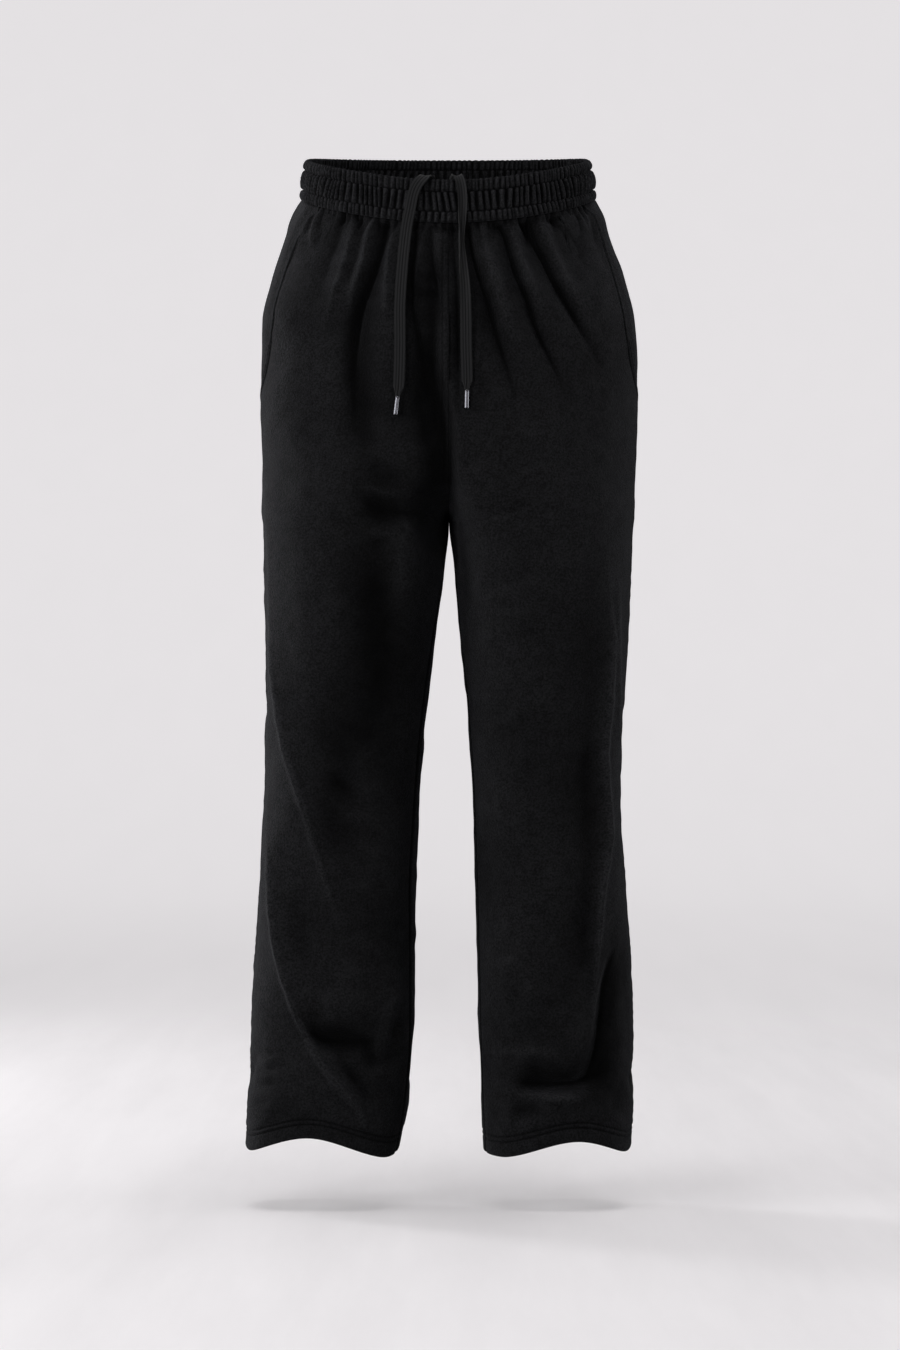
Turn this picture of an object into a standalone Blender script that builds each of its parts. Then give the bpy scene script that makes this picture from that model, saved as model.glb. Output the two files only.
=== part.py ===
"""Straight-leg sweatpants with an elastic drawcord waist, filled out as when they are worn.

The origin is the middle of the waist opening, level with the waistband's top edge at the sides.
+X is the wearer's left, the front faces -Y and +Z is up. Tables and sizes are in millimetres.
"""
import math
from collections import namedtuple

import bmesh
import bpy
import numpy as np
from mathutils import Matrix, Vector

MM = 0.001

# Cloth
WALL = 2.0                  # brushed fleece
HEM_WALL = 4.0              # fleece turned up once
HEM_HEIGHT = 25.0
SEAM_GAP = 0.3              # between two pieces along a seam
WAIST_GAP = 0.5             # between the panels and the waistband
ROUNDNESS = 0.05            # how much fuller a section is than an ellipse, at its corners
SEAM_HELD = 0.15            # share beside the centre seam where folds can't part its two sides

# Levels, measured down the side seam from the waistband's top edge
BAND = 43.0
CROTCH = 392.0
HEM = 1066.0
TILT_ENDS = 230.0           # below this the rows are level all round
HEM_CURVE_STARTS = 940.0

# Waistband: elastic in three channels
CHANNELS = (0.0, 11.0, 32.0, BAND)
BAND_WALL = 2.8             # at the rows of stitches
CHANNEL_BULGE = 1.2         # on each face
FRONT_DIP = (12.6, 23.4)    # the top edge's fall at the centre front, its even and its rounded share
BACK_RISE = (20.0, -7.0)
BUTTONHOLE = (14.0, 3.0, 4.0)   # width, depth into the band's inside, height

# Pockets
POCKET_WALL = 1.5
POCKET_CLEAR = 0.7          # between the panels and the pocket that lies under them
POCKET_LAP = 1.5            # how far it runs under the back panel
MOUTH_END = 258.0

# Drawcord and its tips
CORD = (12.0, 1.8)          # width and thickness of the flat cord
TIP_RADIUS = 2.8
TIP_LENGTH = 20.0

# How finely the cloth is cut into faces
PANEL_COLUMNS = 11
TRUNK_ROWS = 14
LEG_ROWS = 17
BAND_COLUMNS = 48
POCKET_FIRST_COLUMN = 5
POCKET_ROWS = 11
STRIP_COLUMNS = 2           # of the pocket, in its mouth
CORD_STEPS = 3              # faces between two points of a cord's route

# The trunk at one level. right and left are the half widths, front, back and side the distances
# of the cloth and of the side seam from the XZ plane (the seam's is to the back). turn is the
# angle from the side seam round to the centre seam: past 90 the legs begin to part.
Trunk = namedtuple("Trunk", "down right left front back side turn")
TRUNK = (
    Trunk(0, 154, 151, 94, 98, 0, 90),
    Trunk(43, 160, 158, 97, 101, 0, 90),
    Trunk(60, 169, 167, 99, 105, 0, 90),
    Trunk(86, 178, 174, 103, 112, 0, 90),
    Trunk(130, 192, 190, 108, 124, 1, 90),
    Trunk(173, 202, 201, 111, 134, 3, 90),
    Trunk(216, 203, 204, 113, 140, 6, 90),
    Trunk(260, 204, 204, 113, 142, 9, 90),
    Trunk(302, 203, 203, 112, 140, 11, 94),
    Trunk(335, 202, 202, 110, 135, 13, 103),
    Trunk(360, 201, 201, 108, 130, 14, 119),
    Trunk(377, 201, 201, 106, 127, 13, 141),
    Trunk(387, 201, 201, 105, 125, 13, 163),
)

# A leg at one level: distances of its outer and inner edge from the YZ plane, of its front, back
# and side seam from the XZ plane, and how far the inseam has turned to the front, in degrees.
Leg = namedtuple("Leg", "down outer inner front back side inseam")
RIGHT_LEG = (
    Leg(392, 201, 0, 105, 124, 13, 0),
    Leg(432, 201, 3.5, 102, 118, 11, 8),
    Leg(518, 198, 14.5, 92, 103, 7, 18),
    Leg(605, 198, 24, 80, 88, 4, 24),
    Leg(691, 200, 31, 72, 83, 5, 25),
    Leg(778, 205, 36, 66, 82, 7, 25),
    Leg(864, 211, 37, 61, 81, 9, 22),
    Leg(950, 215, 38, 58, 79, 10, 20),
    Leg(1020, 218, 45, 56, 77, 10, 20),
    Leg(1066, 220, 53.5, 55, 75, 10, 20),
)
LEFT_LEG = (
    Leg(392, 200, 0, 105, 124, 13, 0),
    Leg(432, 198, 4.5, 102, 118, 11, 6),
    Leg(518, 194, 12, 91, 103, 7, 12),
    Leg(605, 187, 20, 79, 88, 4, 15),
    Leg(691, 185, 25, 71, 83, 5, 16),
    Leg(778, 191, 28, 65, 82, 7, 16),
    Leg(864, 196, 30, 60, 81, 9, 16),
    Leg(950, 200, 32, 57, 79, 10, 16),
    Leg(1020, 199.5, 34.5, 55, 77, 10, 16),
    Leg(1066, 197, 37, 54, 75, 10, 16),
)

# The hem's height above its level at an angle from the side seam, to the front where positive
HemRise = namedtuple("HemRise", "angle rise")
RIGHT_HEM = (
    HemRise(-180, 2), HemRise(-90, 3), HemRise(0, 3), HemRise(22, -1),
    HemRise(80, 16), HemRise(145, -7), HemRise(180, 2),
)
LEFT_HEM = (
    HemRise(-180, -3), HemRise(-90, 3), HemRise(0, 3), HemRise(25, -2),
    HemRise(75, 12), HemRise(138, -6), HemRise(180, -3),
)

# The pocket mouth's distance from the side seam, along the cloth
Mouth = namedtuple("Mouth", "down width")
MOUTH = (
    Mouth(43, 62), Mouth(58, 59), Mouth(78, 56), Mouth(100, 54.5), Mouth(150, 54), Mouth(175, 53),
    Mouth(195, 49.5), Mouth(210, 45), Mouth(228, 36.5), Mouth(244, 22), Mouth(MOUTH_END, 0),
)

# The largest folds: soft ridges (height above 0) and troughs. A path is seen square on to its
# face, as (x, z) on the front and back and as (y, z) on the outer sides. lean makes a fold's
# right flank, looking along its path, wider than its left.
Fold = namedtuple("Fold", "name face path width height lean")
FOLDS = (
    Fold("shin sweep", "front", ((-193, -720), (-186, -800), (-178, -870), (-160, -935),
                                 (-130, -990), (-98, -1026)), 20, 10, 0.4),
    Fold("shin hollow", "front", ((-152, -948), (-122, -956), (-92, -970)), 22, -8, 0),
    Fold("ankle trough", "front", ((-122, -966), (-98, -1004), (-92, -1032)), 18, -6, 0),
    Fold("inner ankle ridge", "front", ((-52, -880), (-66, -925), (-75, -988)), 18, 4, 0),
    Fold("calf trough", "front", ((180, -848), (168, -902), (160, -956), (146, -990)), 18, -7, 0),
    Fold("ankle shelf", "front", ((152, -992), (112, -999), (66, -1001)), 18, -9, 0),
    Fold("ankle roll", "front", ((40, -962), (84, -966), (124, -974)), 18, 5, 0),
    Fold("left thigh ridge", "front", ((174, -432), (178, -500), (169, -610), (173, -690),
                                       (162, -820), (150, -930)), 20, 4, 0),
    Fold("right thigh ridge", "front", ((-190, -460), (-186, -555), (-172, -660), (-156, -760),
                                        (-130, -860)), 22, 4, 0),
    Fold("right belly trough", "front", ((-79, -84), (-91, -140), (-102, -210)), 18, -6, 0),
    Fold("right belly ridge", "front", ((-104, -78), (-112, -120), (-134, -180)), 18, 4, 0),
    Fold("left belly trough", "front", ((57, -82), (84, -130), (108, -196)), 18, -6, 0),
    Fold("left pocket trough", "front", ((92, -84), (124, -140), (152, -196)), 18, -4, 0),
    Fold("crotch wedge", "front", ((-26, -262), (-14, -312), (-4, -352)), 22, -10, 0),
    Fold("right seat fold", "back", ((-168, -330), (-110, -372), (-48, -388)), 24, -8, 0),
    Fold("left seat fold", "back", ((160, -342), (104, -378), (40, -384)), 24, -8, 0),
    Fold("right knee fold", "back", ((-60, -590), (-110, -618), (-166, -604)), 22, -6, 0),
    Fold("left knee fold", "back", ((50, -622), (104, -606), (158, -640)), 22, -6, 0),
    Fold("right calf sweep", "back", ((-178, -860), (-130, -930), (-70, -986)), 22, 7, 0.3),
    Fold("left calf sweep", "back", ((60, -884), (112, -944), (170, -992)), 22, 7, -0.3),
    Fold("right heel trough", "back", ((-176, -962), (-128, -1004), (-84, -1010)), 18, -6, 0),
    Fold("left heel trough", "back", ((70, -966), (116, -1008), (166, -1012)), 18, -6, 0),
    Fold("right hip trough", "outer right", ((30, -90), (44, -160), (60, -250)), 22, -4, 0),
    Fold("left hip trough", "outer left", ((34, -96), (50, -176), (58, -262)), 22, -4, 0),
)
FACES = {
    "front": (0, -1, 0),
    "back": (0, 1, 0),
    "outer right": (-1, 0, 0),
    "outer left": (1, 0, 0),
}

# Routes of the two flat cords, from inside the waistband over its top edge and down the front:
# x, y, z and the twist of the cord about its own line, in degrees.
CordPoint = namedtuple("CordPoint", "x y z twist")
RIGHT_ROUTE = (
    CordPoint(-18, -87.0, -54, 0), CordPoint(-18.5, -87.4, -43, 0), CordPoint(-20, -89.4, -34, 0),
    CordPoint(-24, -94.5, -30.5, 0), CordPoint(-31, -99.2, -36, 0), CordPoint(-37, -100.2, -47, 0),
    CordPoint(-41, -100.6, -66, 0), CordPoint(-45, -101.8, -88, 0), CordPoint(-49, -105.6, -124, 0),
    CordPoint(-51.5, -110.4, -166, 0), CordPoint(-51.5, -113.6, -208, 0),
    CordPoint(-52.7, -115.4, -250, 0), CordPoint(-54, -116, -264, 0),
)
LEFT_ROUTE = (
    CordPoint(4, -87.0, -54, 0), CordPoint(4.4, -87.4, -43, 0), CordPoint(5.5, -89.4, -34, 0),
    CordPoint(8, -94.5, -30.5, 0), CordPoint(11.5, -99.4, -36, 0), CordPoint(13.6, -100.4, -47, 0),
    CordPoint(14.2, -101, -62, 0), CordPoint(12.6, -102.8, -88, -25), CordPoint(11.8, -104.4, -99, -35),
    CordPoint(14.2, -107.6, -124, -12), CordPoint(16.8, -111, -151, 0),
    CordPoint(17.8, -113.8, -182, 0), CordPoint(18, -115.4, -214, 0), CordPoint(18.8, -116, -245, 0),
    CordPoint(18.7, -116.2, -257, 0),
)


def linear(hex_colour):
    """An sRGB hex colour as the linear RGBA that shaders take."""
    channels = [int(hex_colour[k:k + 2], 16) / 255 for k in (0, 2, 4)]
    return [c / 12.92 if c <= 0.04045 else ((c + 0.055) / 1.055) ** 2.4 for c in channels] + [1.0]


def material(name, hex_colour, roughness, metallic=0.0):
    made = bpy.data.materials.new(name)
    made.use_nodes = True
    shader = made.node_tree.nodes["Principled BSDF"]
    shader.inputs["Base Color"].default_value = linear(hex_colour)
    shader.inputs["Roughness"].default_value = roughness
    shader.inputs["Metallic"].default_value = metallic
    return made


def smooth(xs, ys, x):
    """Value at x of a smooth curve through the rows (xs, ys) that never overshoots them."""
    xs = np.asarray(xs, float)
    ys = np.asarray(ys, float)
    step = np.diff(xs)
    slope = np.diff(ys) / step
    product = slope[:-1] * slope[1:]
    total = np.where(product > 0, slope[:-1] + slope[1:], 1.0)
    middle = np.where(product > 0, 2 * product / total, 0.0)
    tangent = np.concatenate(([slope[0]], middle, [slope[-1]]))
    k = np.clip(np.searchsorted(xs, x, side="right") - 1, 0, len(step) - 1)
    f = np.clip((x - xs[k]) / step[k], 0, 1)
    rise = tangent[k] * step[k]
    fall = tangent[k + 1] * step[k]
    change = ys[k + 1] - ys[k]
    return ys[k] + f * rise + f**2 * (3 * change - 2 * rise - fall) + f**3 * (rise + fall - 2 * change)


def ease(start, end, x):
    """0 at start, 1 at end and level at both."""
    f = np.clip((x - start) / (end - start), 0, 1)
    return f * f * (3 - 2 * f)


def fullness(angle):
    return 1 + ROUNDNESS * np.sin(2 * angle) ** 2


def level_table(side):
    """The columns of one half, side -1 being the wearer's right: trunk rows, then leg rows."""
    leg = RIGHT_LEG if side < 0 else LEFT_LEG
    rows = [(t.down, t.right if side < 0 else t.left, 0, t.front, t.back, t.side, t.turn, 0)
            for t in TRUNK]
    rows += [(r.down, r.outer, r.inner, r.front, r.back, r.side, 180, r.inseam) for r in leg]
    return np.array(rows, float).T


TABLES = {side: level_table(side) for side in (-1, 1)}


def row_tilt(side, angle, down):
    """How far a row lies above its level: the waist dips in front, the hem rises over the foot."""
    across = np.abs(np.sin(angle))
    dip = -(FRONT_DIP[0] * across + FRONT_DIP[1] * across**2)
    rise = BACK_RISE[0] * across + BACK_RISE[1] * across**2
    waist = np.where(angle > 0, dip, rise) * (1 - ease(BAND, TILT_ENDS, down))
    hem_rows = RIGHT_HEM if side < 0 else LEFT_HEM
    turned = (np.degrees(angle) + 180) % 360 - 180
    hem = smooth([h.angle for h in hem_rows], [h.rise for h in hem_rows], turned)
    return waist + hem * ease(HEM_CURVE_STARTS, HEM, down)


def bare_surface(side, share, down):
    """Points of one half without its folds.

    share runs from the centre seam or inseam across the front to the side seam at 1, and on
    across the back to the centre seam or inseam at 2.
    """
    legs = down >= CROTCH
    share = np.where(legs, share % 2, np.clip(share, 0, 2))
    levels, *columns = TABLES[side]
    outer, inner, front, back, seam, turn, inseam = (smooth(levels, c, down) for c in columns)
    turn = np.radians(turn)
    inseam = np.radians(inseam)
    angle = np.where(share <= 1, (turn - inseam) * (1 - share), -(turn + inseam) * (share - 1))
    reach = -np.cos(turn) * fullness(turn)
    centre = np.where(legs, (outer + inner) / 2, outer * reach / (1 + reach))
    swing = np.cos(angle) * fullness(angle)
    depth = np.where(np.sin(angle) >= 0, front + seam, back - seam)
    x = side * (centre + (outer - centre) * swing)
    y = seam - depth * np.sin(angle) * fullness(angle)
    return np.stack([x, y, row_tilt(side, angle, down) - down], axis=-1)


def bare_normal(side, share, down):
    """Unit normals of bare_surface, pointing out of the garment."""
    step_share = 0.004
    step_down = 0.5
    along = bare_surface(side, share + step_share, down) - bare_surface(side, share - step_share, down)
    fall = bare_surface(side, share, down + step_down) - bare_surface(side, share, down - step_down)
    normal = side * np.cross(fall, along)
    at_centre = (down < CROTCH) & ((share < step_share) | (share > 2 - step_share))
    normal[..., 0] = np.where(at_centre, side * np.minimum(side * normal[..., 0], 0), normal[..., 0])
    return normal / np.linalg.norm(normal, axis=-1, keepdims=True)


def catmull_rom(points, samples):
    """Points of a smooth curve through the rows of points."""
    points = np.asarray(points, float)
    padded = np.vstack([2 * points[0] - points[1], points, 2 * points[-1] - points[-2]])
    place = np.linspace(0, len(points) - 1, samples)
    k = np.minimum(place.astype(int), len(points) - 2)
    f = (place - k)[:, None]
    a, b, c, d = (padded[k + n] for n in range(4))
    return 0.5 * (2 * b + (c - a) * f + (2 * a - 5 * b + 4 * c - d) * f**2 + (3 * b - a - 3 * c + d) * f**3)


def fold_height(fold, points, normals):
    """How far one fold moves each point out along its normal."""
    face = np.array(FACES[fold.face], float)
    facing = ease(0.0, 0.6, normals @ face)
    flat = points[:, [1, 2]] if face[0] else points[:, [0, 2]]
    path = catmull_rom(fold.path, 24)
    away = flat[:, None, :] - path[None, :, :]
    gap = np.linalg.norm(away, axis=-1)
    nearest = gap.argmin(axis=1)
    row = np.arange(len(flat))
    direction = np.gradient(path, axis=0)[nearest]
    offset = away[row, nearest]
    right = direction[:, 1] * offset[:, 0] - direction[:, 0] * offset[:, 1]
    width = fold.width * (1 + fold.lean * np.tanh(right / (fold.width * np.linalg.norm(direction, axis=1))))
    along = nearest / (len(path) - 1)
    taper = 0.25 + 0.75 * np.sin(math.pi * along)
    return fold.height * taper * facing * np.exp(-(gap[row, nearest] / width) ** 2)


def surface(side, share, down):
    """Points and outward normals of the cloth's outer face, folds included."""
    points = bare_surface(side, share, down)
    normals = bare_normal(side, share, down)
    height = sum(fold_height(fold, points, normals) for fold in FOLDS) * ease(BAND, BAND + 40, down)
    moved = normals * height[:, None]
    moved[:, 0] *= ease(0, SEAM_HELD, np.minimum(share, 2 - share))
    return points + moved, normals


def pace(side, share, down):
    """Millimetres of cloth that one unit of share covers."""
    step = 0.004
    return np.linalg.norm(bare_surface(side, share + step, down)
                          - bare_surface(side, share - step, down), axis=-1) / (2 * step)


def closed_wall(name, columns, rows, outer, inner, look):
    """A closed wall from a grid of columns by rows, its two faces at outer(i, j) and inner(i, j)."""
    bm = bmesh.new()
    bmesh.ops.create_grid(bm, x_segments=columns, y_segments=rows, size=0.5)
    outside = list(bm.verts)
    extruded = bmesh.ops.extrude_face_region(bm, geom=bm.faces[:], use_keep_orig=True)
    inside = [item for item in extruded["geom"] if isinstance(item, bmesh.types.BMVert)]
    for verts, place in ((outside, outer), (inside, inner)):
        i = np.array([round((v.co.x + 0.5) * columns) for v in verts])
        j = np.array([round((0.5 - v.co.y) * rows) for v in verts])
        for vert, point in zip(verts, place(i, j)):
            vert.co = Vector(point) * MM
    bmesh.ops.recalc_face_normals(bm, faces=bm.faces[:])
    mesh = bpy.data.meshes.new(name)
    bm.to_mesh(mesh)
    bm.free()
    mesh.shade_smooth()
    mesh.set_sharp_from_angle(angle=math.radians(50))
    mesh.materials.append(look)
    made = bpy.data.objects.new(name, mesh)
    bpy.context.scene.collection.objects.link(made)
    made.parent = garment
    return made


def even_levels(side, share):
    """Levels that space the trunk's rows evenly along its centre seam."""
    levels = np.linspace(BAND + WAIST_GAP, CROTCH, 200)
    line = bare_surface(side, np.full_like(levels, share), levels)
    run = np.concatenate(([0], np.cumsum(np.linalg.norm(np.diff(line, axis=0), axis=1))))
    return np.interp(np.linspace(0, run[-1], TRUNK_ROWS + 1), run, levels)


SEAM_OPENS = 30             # above the crotch, where the inseam's gap begins
LEG_LEVELS = np.concatenate((np.linspace(CROTCH, HEM - HEM_HEIGHT - 2, LEG_ROWS - 1)[1:],
                             [HEM - HEM_HEIGHT, HEM]))
SIDE_LEVELS = np.concatenate((np.linspace(BAND + WAIST_GAP, CROTCH, TRUNK_ROWS + 1), LEG_LEVELS))


def centre_levels(share):
    return np.concatenate((even_levels(1, share), LEG_LEVELS))


def seam_share(side, share, down):
    """Half a seam's gap, as a share."""
    return SEAM_GAP / 2 / pace(side, np.full_like(down, share), down)


def front_grid(side, u, j):
    """Share and level of the front panel at u across it, 0 at the centre, and row j.

    The third value is the share of its outer edge, at the pocket's mouth or at the side seam.
    """
    down = centre_levels(0)[j] * (1 - u) + SIDE_LEVELS[j] * u
    first = seam_share(side, 0, down) * ease(CROTCH - SEAM_OPENS, CROTCH, down)
    mouth = smooth([m.down for m in MOUTH], [m.width for m in MOUTH], down)
    last = 1 - np.maximum(mouth, SEAM_GAP / 2) / pace(side, np.full_like(down, 1), down)
    return first + (last - first) * u, down, last


def back_grid(side, u, j):
    """The same of the back panel, u being 0 at the side seam."""
    down = SIDE_LEVELS[j] * (1 - u) + centre_levels(2)[j] * u
    first = 1 + seam_share(side, 1, down)
    last = 2 - seam_share(side, 0, down) * ease(CROTCH - SEAM_OPENS, CROTCH, down)
    return first + (last - first) * u, down, last


def on_cloth(side, share, down, depth):
    """Points of one half, depth below the cloth's outer face."""
    points, normals = surface(side, share, down)
    points[:, 0] += side * SEAM_GAP / 2
    return points - normals * np.reshape(depth, (-1, 1))


def wall_depth(down):
    """The cloth's thickness, doubled where the hem is turned up."""
    return np.where(down > HEM - HEM_HEIGHT - 1, HEM_WALL, WALL)


def panel(side, name, grid):
    """A front or a back of one half, with its hem turned up inside."""
    def place(depth):
        def at(i, j):
            share, down, _ = grid(side, i / PANEL_COLUMNS, j)
            return on_cloth(side, share, down, depth * wall_depth(down))
        return at
    closed_wall(name, PANEL_COLUMNS, len(SIDE_LEVELS) - 1, place(0), place(1), FLEECE)


def pocket(side, name):
    """The pocket's back layer: under the front panel, then out in the mouth to the side seam."""
    under = PANEL_COLUMNS - POCKET_FIRST_COLUMN

    def place(depth):
        def at(i, j):
            u = np.minimum(POCKET_FIRST_COLUMN + i, PANEL_COLUMNS) / PANEL_COLUMNS
            share, down, mouth = front_grid(side, u, j)
            strip = np.maximum(i - under, 0) / STRIP_COLUMNS
            edge = 1 + POCKET_LAP / pace(side, np.full_like(down, 1), down)
            return on_cloth(side, share + (edge - mouth) * strip, down, np.full(len(i), depth))
        return at
    top = WALL + POCKET_CLEAR
    closed_wall(name, under + STRIP_COLUMNS, POCKET_ROWS, place(top), place(top + POCKET_WALL), FLEECE)


BAND_LEVELS = np.array([0, 3, 7, 11, 16, 21.5, 27, 32, 36, 40, BAND])
TOP_ROUNDING = 0.7          # how far the folded top edge is drawn in on each face


def channel_bulge(down):
    """The waistband's swelling between its rows of stitches."""
    k = np.clip(np.searchsorted(CHANNELS, down, side="right") - 1, 0, len(CHANNELS) - 2)
    starts = np.array(CHANNELS)
    f = (down - starts[k]) / (starts[k + 1] - starts[k])
    return CHANNEL_BULGE * np.sin(math.pi * f) ** 0.8


def waistband():
    """One strip, sewn into a ring at the centre back."""
    def place(face):
        def at(i, j):
            u = i / BAND_COLUMNS
            down = BAND_LEVELS[j]
            points = np.empty((len(i), 3))
            for side in (1, -1):
                half = (u <= 0.5) if side > 0 else (u > 0.5)
                share = np.abs(2 - 4 * u[half])
                share = np.minimum(share, 2 - seam_share(side, 2, down[half]))
                found, normals = surface(side, share, down[half])
                bulge = channel_bulge(down[half])
                rounded = np.where(down[half] == 0, TOP_ROUNDING, 0)
                depth = np.where(face == "outer", rounded - bulge, BAND_WALL - rounded + bulge)
                points[half] = found - normals * depth[:, None]
            return points
        return at
    band = closed_wall("waistband", BAND_COLUMNS, len(BAND_LEVELS) - 1, place("outer"), place("inner"),
                       FLEECE)
    for name, route in (("right", RIGHT_ROUTE), ("left", LEFT_ROUTE)):
        buttonhole(band, name, route[0])


def buttonhole(band, name, start):
    """Cuts the slot in the band's inside that a cord comes out of."""
    width, depth, height = BUTTONHOLE
    bm = bmesh.new()
    size = Matrix.Diagonal((width, depth, height, 1))
    bmesh.ops.create_cube(bm, size=1, matrix=size)
    bmesh.ops.scale(bm, vec=(MM, MM, MM), verts=bm.verts)
    mesh = bpy.data.meshes.new("buttonhole_" + name)
    bm.to_mesh(mesh)
    bm.free()
    cutter = bpy.data.objects.new("buttonhole_" + name, mesh)
    bpy.context.scene.collection.objects.link(cutter)
    cutter.location = Vector((start.x, start.y - depth / 2, start.z)) * MM
    cutter.hide_render = True
    cutter.display_type = "WIRE"
    cutter.parent = garment
    cut = band.modifiers.new("buttonhole " + name, "BOOLEAN")
    cut.object = cutter
    cut.operation = "DIFFERENCE"


def cord_frames(route):
    """Points along a cord, its direction, and those across its width and out of its flat face."""
    samples = CORD_STEPS * (len(route) - 1) + 1
    rows = catmull_rom([(p.x, p.y, p.z, p.twist) for p in route], samples)
    line = rows[:, :3]
    tangent = np.gradient(line, axis=0)
    tangent /= np.linalg.norm(tangent, axis=1, keepdims=True)
    across = np.array([1.0, 0, 0]) - tangent[:, :1] * tangent
    across /= np.linalg.norm(across, axis=1, keepdims=True)
    out = np.cross(tangent, across)
    cosine = np.cos(np.radians(rows[:, 3:]))
    sine = np.sin(np.radians(rows[:, 3:]))
    return line, tangent, across * cosine + out * sine, out * cosine - across * sine


def drawcord(name, route):
    width, thickness = CORD
    line, _, across, out = cord_frames(route)

    def place(face):
        def at(i, j):
            return line[j] + across[j] * (width * (i - 0.5))[:, None] + out[j] * (face * thickness / 2)
        return at
    closed_wall(name, 1, len(line) - 1, place(1), place(-1), TAPE)


def cord_tip(name, route):
    """The metal end that is pressed onto the cord."""
    line, tangent, _, _ = cord_frames(route)
    direction = Vector(tangent[-1])
    middle = Vector(line[-1]) + direction * (SEAM_GAP + TIP_LENGTH / 2)
    bm = bmesh.new()
    bmesh.ops.create_cone(bm, cap_ends=True, segments=16, radius1=TIP_RADIUS, radius2=TIP_RADIUS,
                          depth=TIP_LENGTH)
    rims = [edge for edge in bm.edges if abs(edge.verts[0].co.z - edge.verts[1].co.z) < 1]
    bmesh.ops.bevel(bm, geom=rims, offset=0.5, offset_type="OFFSET", segments=1, profile=0.5,
                    affect="EDGES")
    bmesh.ops.scale(bm, vec=(MM, MM, MM), verts=bm.verts)
    mesh = bpy.data.meshes.new(name)
    bm.to_mesh(mesh)
    bm.free()
    mesh.shade_smooth()
    mesh.set_sharp_from_angle(angle=math.radians(40))
    mesh.materials.append(METAL)
    tip = bpy.data.objects.new(name, mesh)
    bpy.context.scene.collection.objects.link(tip)
    tip.location = middle * MM
    tip.rotation_mode = "QUATERNION"
    tip.rotation_quaternion = Vector((0, 0, -1)).rotation_difference(direction)
    tip.parent = garment


for old in list(bpy.data.objects):
    bpy.data.objects.remove(old, do_unlink=True)

FLEECE = material("black fleece", "161618", 0.95)
TAPE = material("dark grey cord", "3a3a3c", 0.85)
METAL = material("polished metal", "8c8c8e", 0.25, 1.0)

garment = bpy.data.objects.new("garment", None)
bpy.context.scene.collection.objects.link(garment)

waistband()
for half, side_name, cord_route in ((-1, "right", RIGHT_ROUTE), (1, "left", LEFT_ROUTE)):
    panel(half, "front_" + side_name, front_grid)
    panel(half, "back_" + side_name, back_grid)
    pocket(half, "pocket_" + side_name)
    drawcord("drawcord_" + side_name, cord_route)
    cord_tip("tip_" + side_name, cord_route)
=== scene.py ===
"""Straight-leg sweatpants of black brushed fleece: the cloth, its seams and cords, a stage and lights.

Sizes and tables are in millimetres and become metres where a mesh is made. The origin is the middle
of the waist opening, +X is the wearer's left, the front faces -Y and +Z is up. Right and left are the
wearer's: side is -1 for the right half and 1 for the left. down is how far a level lies below the waist.
"""
import math
from collections import namedtuple

import bmesh
import bpy
import numpy as np
from mathutils import Matrix, Vector


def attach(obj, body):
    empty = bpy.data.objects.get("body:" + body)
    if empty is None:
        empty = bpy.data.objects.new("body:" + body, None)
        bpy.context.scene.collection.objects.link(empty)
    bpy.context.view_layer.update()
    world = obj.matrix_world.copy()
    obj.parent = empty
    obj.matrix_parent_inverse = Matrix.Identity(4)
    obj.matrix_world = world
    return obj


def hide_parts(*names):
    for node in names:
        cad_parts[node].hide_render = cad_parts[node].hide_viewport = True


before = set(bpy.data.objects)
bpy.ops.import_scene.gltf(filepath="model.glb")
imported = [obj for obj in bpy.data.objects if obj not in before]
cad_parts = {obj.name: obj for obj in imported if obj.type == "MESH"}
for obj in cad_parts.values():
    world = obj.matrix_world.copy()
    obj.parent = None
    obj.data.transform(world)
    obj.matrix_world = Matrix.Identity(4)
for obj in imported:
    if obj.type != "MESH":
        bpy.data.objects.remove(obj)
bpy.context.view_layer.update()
MM = 0.001
scene = bpy.context.scene
scene.view_settings.view_transform = "Standard"

# Sizes shared with the solids
WALL = 2.0                  # thickness of the fleece
HEM_WALL = 4.0              # and of the hem, where it is turned up
SEAM_LAP = 0.06             # how far two panels run into each other inside a seam
WAIST_GAP = 0.5             # between the waistband and the panels' solids
ROUNDNESS = 0.05            # how much fuller than an ellipse a section is at its corners
SEAM_HELD = 0.15            # share beside a centre seam or inseam over which sideways moves grow
BAND = 43.0                 # height of the waistband
CROTCH = 392.0              # level of the crotch
HEM = 1066.0                # level of the hem's folded edge
TILT_ENDS = 230.0           # level where the waist's dip and rise have died out
HEM_CURVE_STARTS = 940.0    # level where the hem's own rise sets in
CHANNELS = (0.0, 11.0, 32.0, BAND)      # the waistband's edges, and its two rows of stitches
BAND_WALL = 2.8
CHANNEL_BULGE = 1.2         # how far a channel stands out between its stitches
FRONT_DIP = (12.6, 23.4)    # of the waist in front, by the sine of the angle round it and its square
BACK_RISE = (20.0, -7.0)    # of the waist behind, likewise
POCKET_WALL = 1.5
POCKET_CLEAR = 0.7          # between the front panel and the pocket's layer
POCKET_LAP = 1.5            # how far the pocket's layer runs past the side seam
MOUTH_END = 258.0           # level where a pocket's mouth meets the side seam
CORD = (12.0, 1.8)          # width and thickness
TIP_RADIUS = 2.8
TIP_LENGTH = 20.0
TRUNK_ROWS = 14             # of the solids, from the waistband to the crotch

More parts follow.
